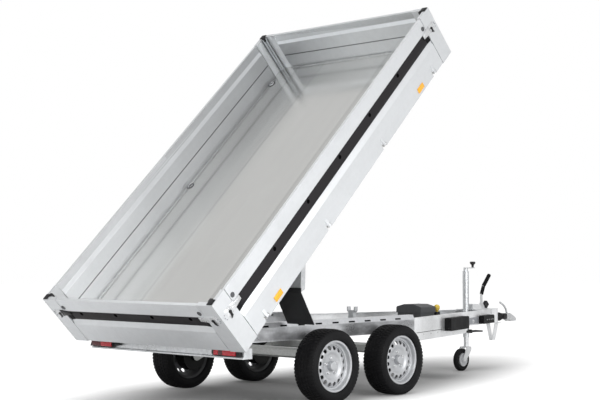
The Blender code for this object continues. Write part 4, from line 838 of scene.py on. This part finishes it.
def finger_hollow():
    """Dished cup with a bright rim, set in the rail above the tongue; its dark finish is painted shade in the
    hollow.
    """
    cup = disc((-0.09, -0.0006, 0.354), 0.018, 0.003, "Y", 24)
    return dished(cup, "-Y", 0.0035, 0.002, 0.0016)


tongue = latch_tongue()
base = latch_base()
hook = latch_hook()
hollow = finger_hollow()
screws = joined(
    *[
        rounded(disc((x, -0.0045, LATCH_UP + z), 0.0042, 0.0035, "Y", 12), 0.0008)
        for x, z in ((0.054, 0.02), (0.054, -0.016), (0.062, 0.002))
    ]
)
print("latch tongue:", len(tongue.data.polygons), "faces")

# %% Latches at the corners
for wall, _, body, length in WALLS:
    for end, tag in ((-1, wall + "_far"), (1, wall + "_near")):
        shift = Matrix.Translation((length / 2 + POST_LEG - LATCH_FROM_CORNER, 0, 0))
        place = on_wall(wall) @ (shift if end > 0 else MIRROR_X @ shift)
        # the tongue at the tailgate's left end is black in the photograph, the others are bright
        tongue_finish = BLACK_PAINT if (wall, end) == ("rear", -1) else BRIGHT_STEEL
        put(tongue, place, "latch_tongue_" + tag, tongue_finish, body)
        put(base, place, "latch_base_" + tag, BRIGHT_STEEL, "bed")
        put(hook, place, "latch_hook_" + tag, BLACK_PAINT, "bed")
        # the hollow's dark finish is painted shade in the recess
        put(hollow, place, "latch_hollow_" + tag, DARK_PLASTIC, body)
        put(screws, place, "latch_screws_" + tag, GREY_PLATE, "bed")
discard(tongue, base, hook, hollow, screws)
print("latches:", 2 * len(WALLS))

# %% [markdown]
# The four corner posts are closed on top by black plastic caps. Each is a raised square with a tooth that
# stands inside the corner.

# %% Post caps
def post_cap():
    """Cap over the rear right post, in the bed's own measure."""
    top = WALL_HEIGHT + 0.0031
    cap = block((HALF - 0.052, 0.004, top), (HALF - 0.004, 0.052, top + 0.0055))
    stepped(cap, "+Z", (0.006, (0.0, 0.0, 0.0018)))
    tooth = block((HALF - 0.062, 0.034, top - 0.03), (HALF - 0.034, 0.062, top + 0.004))
    rounded(tooth, 0.003, 2)
    return joined(rounded(cap, 0.0015, 2, 20), tooth)


cap = post_cap()
MIRROR_Y_IN_BED = Matrix.Translation((0, BED_LENGTH, 0)) @ Matrix.Scale(-1, 4, (0, 1, 0))
CORNERS = (
    ("rear_right", Matrix.Identity(4)),
    ("rear_left", MIRROR_X),
    ("front_right", MIRROR_Y_IN_BED),
    ("front_left", MIRROR_Y_IN_BED @ MIRROR_X),
)
for name, turn in CORNERS:
    put(cap, BED_PLACE @ turn, "post_cap_" + name, BLACK_PLASTIC, "bed")
discard(cap)
print("caps:", len(CORNERS))

# %% [markdown]
# Two amber reflectors sit low on each side. A reflector is a rounded lens.

# %% Side reflectors
REFLECTOR_PLACES = (0.468, 2.672)
LENS_DEPTH = 0.0065
for side, wall in ((1, "right"), (-1, "left")):
    for number, y in enumerate(REFLECTOR_PLACES):
        low, high = sorted((side * HALF, side * (HALF + LENS_DEPTH)))
        lens = rounded(block((low, y - 0.045, 0.028), (high, y + 0.045, 0.068)), 0.003, 3)
        tag = "%s_%d" % (wall, number + 1)
        finished(moved(lens, BED_PLACE), "reflector_" + tag, AMBER_LENS, "side_" + wall)
print("reflectors:", 2 * len(REFLECTOR_PLACES))

# %% [markdown]
# The tyres get their tread and the wheels their vents. Both begin as a section: a circle primitive whose
# points are set to a short table, spun about the axle. A right wheel is modelled and copied four times.

# %% Spinning a section
def spun(section, steps):
    """A closed ring from a section of (outwards, radius) points, spun about X."""
    deselect_all()
    bpy.ops.mesh.primitive_circle_add(vertices=len(section), radius=0.1, location=(0, 0, 0))
    thing = bpy.context.object
    for vertex, (out, radius) in zip(thing.data.vertices, section):
        vertex.co = (out, 0.0, radius)
    bpy.ops.object.mode_set(mode="EDIT")
    bpy.ops.mesh.select_all(action="SELECT")
    bpy.ops.mesh.spin(steps=steps, angle=2 * math.pi, center=(0, 0, 0), axis=(1, 0, 0))
    bpy.ops.mesh.select_all(action="SELECT")
    bpy.ops.mesh.remove_doubles(threshold=0.00002)
    bpy.ops.mesh.normals_make_consistent(inside=False)
    bpy.ops.object.mode_set(mode="OBJECT")
    return thing


# %% Tyre with tread
TYRE_RADIUS = 0.2625
TREAD_STEPS = 180
TREAD_DEPTH = 0.0042
TREAD_BAND = 0.0135
TYRE_HALF_SECTION = (
    # outwards, below the tyre's radius
    (0.000, 0.0042), (0.012, 0.0042), (0.018, 0.0042), (0.04, 0.0044), (0.046, 0.0048), (0.074, 0.0078),
    (0.086, 0.015), (0.0945, 0.027), (0.0975, 0.045), (0.0968, 0.058), (0.095, 0.06),
    (0.0945, 0.0625), (0.0915, 0.069), (0.084, 0.075), (0.0775, 0.0783), (0.07, 0.0803),
    (0.064, 0.0915),
)
RIBS = (
    # inner edge, outer edge, offset of its blocks
    (0.0, 0.012, 0), (0.018, 0.04, 2), (0.046, 0.086, 1),
)
half_section = [(out, TYRE_RADIUS - drop) for out, drop in TYRE_HALF_SECTION]
tyre = spun(half_section + [(-out, radius) for out, radius in reversed(half_section[1:])], TREAD_STEPS)


def on_a_block(centre, normal):
    radius = math.hypot(centre.y, centre.z)
    if radius < TYRE_RADIUS - TREAD_BAND:
        return False
    step = int((math.atan2(centre.y, centre.z) / (2 * math.pi) + 1.0) * TREAD_STEPS) % TREAD_STEPS
    for inner, outer, offset in RIBS:
        if inner <= abs(centre.x) <= outer:
            return (step + offset + (2 if centre.x < 0 and inner > 0 else 0)) % 3 != 0
    return False


with edited_faces(tyre, on_a_block):
    bpy.ops.mesh.extrude_region_shrink_fatten(TRANSFORM_OT_shrink_fatten={"value": TREAD_DEPTH})
print("tyre faces:", len(tyre.data.polygons))

# %% Steel wheel with sixteen vents
WHEEL_SECTION = (
    # outwards, radius: the front from the flange to the hub
    (0.074, 0.1825), (0.0765, 0.1825), (0.078, 0.1808), (0.0777, 0.1735), (0.076, 0.169),
    (0.072, 0.1668), (0.06, 0.1652), (0.05, 0.1642), (0.0465, 0.1622), (0.0455, 0.157),
    (0.044, 0.153), (0.04, 0.1508), (0.0345, 0.1492), (0.0335, 0.1465), (0.036, 0.1435),
    (0.042, 0.137), (0.0465, 0.13), (0.0485, 0.122), (0.0488, 0.112), (0.048, 0.102),
    (0.045, 0.096), (0.0395, 0.088), (0.0358, 0.081), (0.0345, 0.074), (0.0345, 0.05),
    (0.0345, 0.029),
    # the back from the hub to the inner flange and over the barrel
    (0.0303, 0.029), (0.0303, 0.077), (0.0405, 0.0985), (0.044, 0.11), (0.0435, 0.124),
    (0.018, 0.1475), (-0.028, 0.1475), (-0.068, 0.1645), (-0.078, 0.1785), (-0.078, 0.1825),
    (-0.073, 0.1825), (-0.066, 0.169), (-0.026, 0.1515), (0.028, 0.1515), (0.04, 0.1675),
    (0.066, 0.1705),
)
VENT_CIRCLE = 0.129
VENT_RADIUS = 0.0155
VENT_COUNT = 16
wheel = spun(WHEEL_SECTION, 96)


def on_circle(x, radius, turn):
    """A point on a circle about X."""
    return x, radius * math.cos(turn), radius * math.sin(turn)


vent_turns = [2 * math.pi * (number + 0.5) / VENT_COUNT for number in range(VENT_COUNT)]
vents = [disc(on_circle(0.035, VENT_CIRCLE, turn), VENT_RADIUS, 0.06, "X", 24) for turn in vent_turns]
bored(wheel, joined(*vents))
print("wheel faces:", len(wheel.data.polygons))

# %% Wheel bolts and hub cap
BOLT_CIRCLE = 0.056
BOLT_COUNT = 5
BOLT_TURN = 0.35
bolts = []
for number in range(BOLT_COUNT):
    turn = 2 * math.pi * number / BOLT_COUNT + BOLT_TURN
    bolts.append(rounded(disc(on_circle(0.036, BOLT_CIRCLE, turn), 0.013, 0.005, "X", 20), 0.0016))
    bolts.append(rounded(disc(on_circle(0.042, BOLT_CIRCLE, turn), 0.0095, 0.012, "X", 6), 0.0014))
bolts = joined(*bolts)
hub_cap = disc((0.0495, 0, 0), 0.03, 0.031, "X", 40)
stepped(hub_cap, "+X", (0.0045, (0.0012, 0, 0)), (0.01, (-0.0015, 0, 0)))
rounded(hub_cap, 0.003, 3, 50)
hub_ring = rounded(disc((0.0365, 0, 0), 0.037, 0.0055, "X", 40), 0.0012)
print("bolts and cap are ready")

# %% Four wheels in their places
WHEEL_PLACES = (("rear_right", 1), ("front_right", 1), ("rear_left", -1), ("front_left", -1))
for name, side in WHEEL_PLACES:
    low, high = (Vector(corner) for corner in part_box("tyre_" + name))
    place = Matrix.Translation((low + high) / 2) @ (Matrix.Identity(4) if side > 0 else MIRROR_X)
    body = "wheel_" + name
    dressed = put(tyre, place, "tread_tyre_" + name, TYRE_RUBBER, body, 30)
    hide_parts("tyre_" + name)
    dressed = put(wheel, place, "vented_wheel_" + name, RIM_PAINT, body, 30)
    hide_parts("rim_" + name)
    put(bolts, place, "wheel_bolts_" + name, BRIGHT_STEEL, body)
    put(hub_cap, place, "hub_cap_" + name, WHEEL_PAINT, body)
    put(hub_ring, place, "hub_ring_" + name, GREY_PLATE, body)
discard(tyre, wheel, bolts, hub_cap, hub_ring)
print("wheels:", len(WHEEL_PLACES))

# %% [markdown]
# Each rear lamp is a black housing with bright and dark red lenses. The same unit sits on both sides, so
# its black tail points to the right on both.

# %% Rear lamps
LAMP_CHAMBERS = {
    # side: spans along X with their finishes
    "right": (((0.546, 0.588), RED_LENS), ((0.59, 0.628), DARK_RED_LENS), ((0.63, 0.752), RED_LENS)),
    "left": (((-0.764, -0.66), DARK_RED_LENS), ((-0.658, -0.536), RED_LENS)),
}
for name, chambers in LAMP_CHAMBERS.items():
    low, high = (Vector(corner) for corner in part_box("rear_lamp_" + name))
    for number, ((a, b), finish) in enumerate(chambers):
        lens = block((a, low.y - 0.01, low.z + 0.0025), (b, low.y + 0.0004, high.z - 0.0035))
        tapered(lens, "-Y", (0.985, 1.0, 0.86))
        finished(rounded(lens, 0.0022, 3), "lamp_lens_%s_%d" % (name, number + 1), finish, "chassis")
low, high = (Vector(corner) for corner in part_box("rear_lamp_left"))
tail = block((high.x - 0.004, low.y + 0.004, low.z + 0.01), (high.x + 0.075, high.y, high.z - 0.008))
tapered(tail, "+X", (1.0, 0.5, 0.35))
finished(rounded(tail, 0.003, 2), "lamp_tail_left", BLACK_PLASTIC, "chassis")
print("lamps: 2")

# %% [markdown]
# Inside the bed, each corner is covered by a narrow plate set at 45 degrees with two round ridges. Tie-down
# rings lie in dished cups near the side walls, and small screws hold the floor's edge.

# %% Corner covers inside the bed
COVER_WIDTH = 0.048
COVER_MIDDLE = Vector((0.843, 0.052, 0.0))
cover = rounded(block((-COVER_WIDTH / 2, -0.003, 0.1), (COVER_WIDTH / 2, 0.003, 0.427)), 0.0012)
ridges = [rounded(disc((x, 0.003, 0.262), 0.0055, 0.3, "Z", 16), 0.002) for x in (-0.014, 0.014)]
# three black strips along the cover: painted shade in its grooves and at its edges
groove_shades = [
    rounded(block((x - 0.0022, 0.0008, 0.104), (x + 0.0022, 0.0036, 0.424)), 0.0006, 1)
    for x in (-0.0215, 0.0, 0.0215)
]
# black blocks beside the cover: painted shade in the gaps where the rails meet the posts
corner_shade_pieces = groove_shades + [
    rounded(block((side * 0.04 - 0.0055, 0.0005, up), (side * 0.04 + 0.0055, 0.003, up + 0.04)), 0.001)
    for side in (-1, 1)
    for up in (0.225, 0.384)
]
cover = joined(cover, *ridges)
corner_shade_pieces = joined(*corner_shade_pieces)
cover_place = Matrix.Translation(COVER_MIDDLE) @ Matrix.Rotation(math.pi / 4, 4, "Z")
for name, turn in CORNERS:
    place = BED_PLACE @ turn @ cover_place
    put(cover, place, "corner_cover_" + name, COVER_SHEET, "bed")
    put(corner_shade_pieces, place, "corner_notches_" + name, BLACK_PLASTIC, "bed")
discard(cover, corner_shade_pieces)
print("corner covers:", len(CORNERS))

# %% Tie-down rings in the floor
RING_PLACES = (0.27, 1.6, 2.923)
RING_FROM_MIDDLE = 0.826
RING_FLAT_FROM = 0.01
cup = dished(disc((0.0, 0.0, FLOOR_TOP + 0.0012), 0.034, 0.003, "Z", 32), "+Z", 0.005, 0.004, 0.0018)
deselect_all()
bpy.ops.mesh.primitive_torus_add(
    major_radius=0.021,
    minor_radius=0.0035,
    major_segments=32,
    minor_segments=8,
    location=(0, 0, FLOOR_TOP + 0.006),
)
ring = settle(bpy.context.object)
# The ring is flattened on the side of its pin: those points are drawn up to the pin's line.
for vertex in ring.data.vertices:
    if vertex.co.x > RING_FLAT_FROM:
        vertex.co.x = RING_FLAT_FROM + (vertex.co.x - RING_FLAT_FROM) * 0.35
pin = rounded(disc((0.0135, 0.0, FLOOR_TOP + 0.0055), 0.0045, 0.036, "Y", 16), 0.001)
ring = joined(ring, pin)
for wall, turn in (("right", Matrix.Identity(4)), ("left", MIRROR_X)):
    for number, y in enumerate(RING_PLACES):
        place = BED_PLACE @ turn @ Matrix.Translation((RING_FROM_MIDDLE, y, 0))
        tag = "%s_%d" % (wall, number + 1)
        put(cup, place, "ring_cup_" + tag, DARK_PLASTIC, "bed")
        put(ring, place, "tie_ring_" + tag, BRIGHT_STEEL, "bed")
discard(cup, ring)
print("tie-down rings:", 2 * len(RING_PLACES))

# %% Screws along the floor's edge
screw = tapered(disc((0.0, 0.0, FLOOR_TOP + 0.0006), 0.0065, 0.0022, "Z", 12), "+Z", (0.7, 0.7, 1.0))
SCREWS_ASIDE, SCREWS_FROM, SCREW_PITCH = 0.852, 0.12, 0.1475
FRONT_SCREWS_FROM, FRONT_SCREW_PITCH = -0.735, 0.147
screw_spots = [(side * SCREWS_ASIDE, SCREWS_FROM + SCREW_PITCH * k) for side in (-1, 1) for k in range(21)]
screw_spots += [(FRONT_SCREWS_FROM + FRONT_SCREW_PITCH * k, BED_LENGTH - 0.045) for k in range(11)]
screws = joined(*[copy_of(screw, BED_PLACE @ Matrix.Translation((x, y, 0))) for x, y in screw_spots])
discard(screw)
finished(screws, "floor_screws", GREY_PLATE, "bed")
print("floor screws:", len(screw_spots))

# %% [markdown]
# The nose gets its small parts: the handbrake's ribbed grip and its black latch, the jockey wheel's hub and
# clamp lever, the covers beside the coupling, and the plate that carries the two wheel chocks.

# %% Handbrake grip and latch
GRIP_FROM = Vector((0.0, 1.921, 0.772))
GRIP_TO = Vector((0.0, 2.009, 0.866))
STEM_FROM = Vector((0.0, 1.879, 0.688))
STEM_TO = Vector((0.0, 1.921, 0.778))
STEM_GRIP = (STEM_TO - STEM_FROM).length


def laid(start, end, axis):
    """The matrix that takes a piece from an axis through the origin to the line between two points."""
    turn = Vector(axis).rotation_difference(end - start).to_matrix().to_4x4()
    return Matrix.Translation(start) @ turn


grip_length = (GRIP_TO - GRIP_FROM).length
grip_section = [(0.0, 0.0146), (0.0, 0.0165), (0.004, 0.0185)]
for rib in range(6):
    at = 0.01 + rib * (grip_length - 0.022) / 6
    grip_section += [(at, 0.0185), (at + 0.006, 0.0172), (at + 0.012, 0.0185)]
grip_section += [(grip_length, 0.0175), (grip_length + 0.003, 0.015), (grip_length + 0.003, 0.0146)]
grip = spun(grip_section, 28)
grip_end = rounded(disc((grip_length + 0.0005, 0, 0), 0.0152, 0.0055, "X", 28), 0.0012)
grip = joined(grip, grip_end)
grip.data.transform(laid(GRIP_FROM, GRIP_TO, (1, 0, 0)))
sleeve = rounded(disc((0, 0, STEM_GRIP / 2), 0.0172, STEM_GRIP, "Z", 24), 0.002, 2)
sleeve.data.transform(laid(STEM_FROM, STEM_TO, (0, 0, 1)))
finished(joined(grip, sleeve), "handbrake_grip", DEEP_BLACK, "chassis")

latch = block((-0.018, -0.026, -0.026), (0.018, 0.026, 0.026))
with edited_faces(latch, "X"):
    bpy.ops.mesh.inset(thickness=0.008, depth=0.0, use_individual=True)
    bpy.ops.transform.resize(value=(0.8, 1.0, 1.0))
rounded(latch, 0.004, 3)
latch.data.transform(Matrix.Translation((0.0, 1.946, 0.592)) @ Matrix.Rotation(math.pi / 4, 4, "X"))
finished(latch, "handbrake_latch", BLACK_PLASTIC, "chassis")
boot = tapered(block((-0.022, 1.955, 0.5), (0.022, 2.035, 0.543)), "+Z", (0.65, 0.6, 1.0))
finished(rounded(boot, 0.005, 3), "handbrake_boot", BLACK_PLASTIC, "chassis")

# %% Jockey wheel hub and clamp lever
JOCKEY_AT = Vector((0.0, 1.5467, 0.1))
hub_section = [
    (0.015, 0.013), (0.0285, 0.013), (0.031, 0.015), (0.031, 0.02), (0.0285, 0.0225),
    (0.028, 0.05), (0.029, 0.054), (0.029, 0.059), (0.0275, 0.06), (0.015, 0.06),
]
hub = spun(hub_section, 40)
holes = [disc(on_circle(0.03, 0.0365, k * math.pi / 3), 0.0105, 0.008, "X", 20) for k in range(6)]
bored(hub, joined(*holes))
hubs = joined(copy_of(hub, Matrix.Identity(4)), copy_of(hub, MIRROR_X))
discard(hub)
hubs.data.transform(Matrix.Translation(JOCKEY_AT))
finished(hubs, "jockey_hub", WHEEL_PAINT, "jockey_wheel")

lever = block((0.05, 1.56, 0.346), (0.062, 1.7, 0.366))
drawn_out(lever, "+Y", (0.0, 0.11, -0.006), (0.9, 1.0, 0.7))
rounded(lever, 0.003, 3)
boss = rounded(disc((0.044, 1.6267, 0.356), 0.017, 0.04, "X", 20), 0.003)
finished(joined(lever, boss), "jockey_clamp_lever", BLACK_PLASTIC, "chassis")

# %% Coupling covers
for side in (-1, 1):
    low, high = sorted((side * 0.0345, side * 0.043))
    cover = block((low, 2.186, 0.446), (high, 2.246, 0.5))
    stepped(cover, "+X" if side > 0 else "-X", (0.007, (side * 0.002, 0.0, 0.0)))
    tag = "right" if side > 0 else "left"
    finished(rounded(cover, 0.003, 3, 20), "coupling_cover_" + tag, BLACK_PLASTIC, "chassis")
sleeve = rounded(disc((0.112, 1.0267, 0.54), 0.0275, 0.034, "Z", 28), 0.003, 3)
finished(sleeve, "pump_sleeve", BLACK_PLASTIC, "chassis")
print("nose pieces are on")

# %% [markdown]
# The wheel chocks hang on the outer face of the drawbar's right member. The next cell works in that
# face's own measure: X out of the face, Y forwards along it and Z up.

# %% Chock plate and drawbar slit
DRAWBAR_TURN = math.atan2(0.53, 1.88)
DRAWBAR_FACE = Matrix.Translation((0.6, 0.0617, 0.0)) @ Matrix.Rotation(DRAWBAR_TURN, 4, "Z")
plate = block((-0.001, 1.185, 0.436), (0.005, 1.56, 0.494))
stepped(plate, "+X", (0.008, (0.002, 0.0, 0.0)))
rounded(plate, 0.0015, 2, 20)
finished(moved(plate, DRAWBAR_FACE), "chock_plate", GREY_PLATE, "chassis")
bolt = joined(
    rounded(disc((0.011, 1.4, 0.462), 0.0125, 0.012, "X", 6), 0.0018),
    rounded(disc((0.0065, 1.4, 0.462), 0.017, 0.004, "X", 24), 0.0008),
)
finished(moved(bolt, DRAWBAR_FACE), "chock_bolt", BRIGHT_STEEL, "chassis")
dots = [rounded(disc((0.0605, 1.64 + 0.055 * k, 0.466), 0.0045, 0.004, "X", 12), 0.0008) for k in range(4)]
dots = joined(*dots)
finished(moved(dots, DRAWBAR_FACE), "chock_rivets", BRIGHT_STEEL, "chassis")
# the slit and three round marks are thin near-black pieces: painted shade in a slit and in holes
slit = rounded(block((-0.001, 0.05, 0.4285), (0.0006, 0.63, 0.4325)), 0.0003, 1)
marks = joined(slit, *[disc((0.0, y, 0.412), 0.0045, 0.0014, "X", 14) for y in (0.206, 0.366, 0.526)])
finished(moved(marks, DRAWBAR_FACE), "drawbar_slit", POCKET_DARK, "chassis")

# %% Painted shade in the side members' slots
SLOT_COUNT = 10
SLOT_FROM = -1.808281
SLOT_PITCH = 0.185
SLOT_OUT, SLOT_UP = 0.597, 0.5512
SLOT_LEAN = math.atan2(0.012, 0.036)
# a thin near-black block stands in each slot: painted shade, as the slots look dark
slot_shade = rounded(block((-0.0016, -0.034, -0.0062), (0.0016, 0.034, 0.0062)), 0.0008, 1)
lean = Matrix.Rotation(-SLOT_LEAN, 4, "Y")
slots = []
for k in range(SLOT_COUNT):
    slot_at = Matrix.Translation((SLOT_OUT, SLOT_FROM + SLOT_PITCH * k, SLOT_UP))
    slots.append(copy_of(slot_shade, slot_at @ lean))
    slots.append(copy_of(slots[-1], MIRROR_X))
discard(slot_shade)
finished(joined(*slots), "slot_shade_marks", DEEP_BLACK, "chassis")
print("drawbar and chassis marks are on")
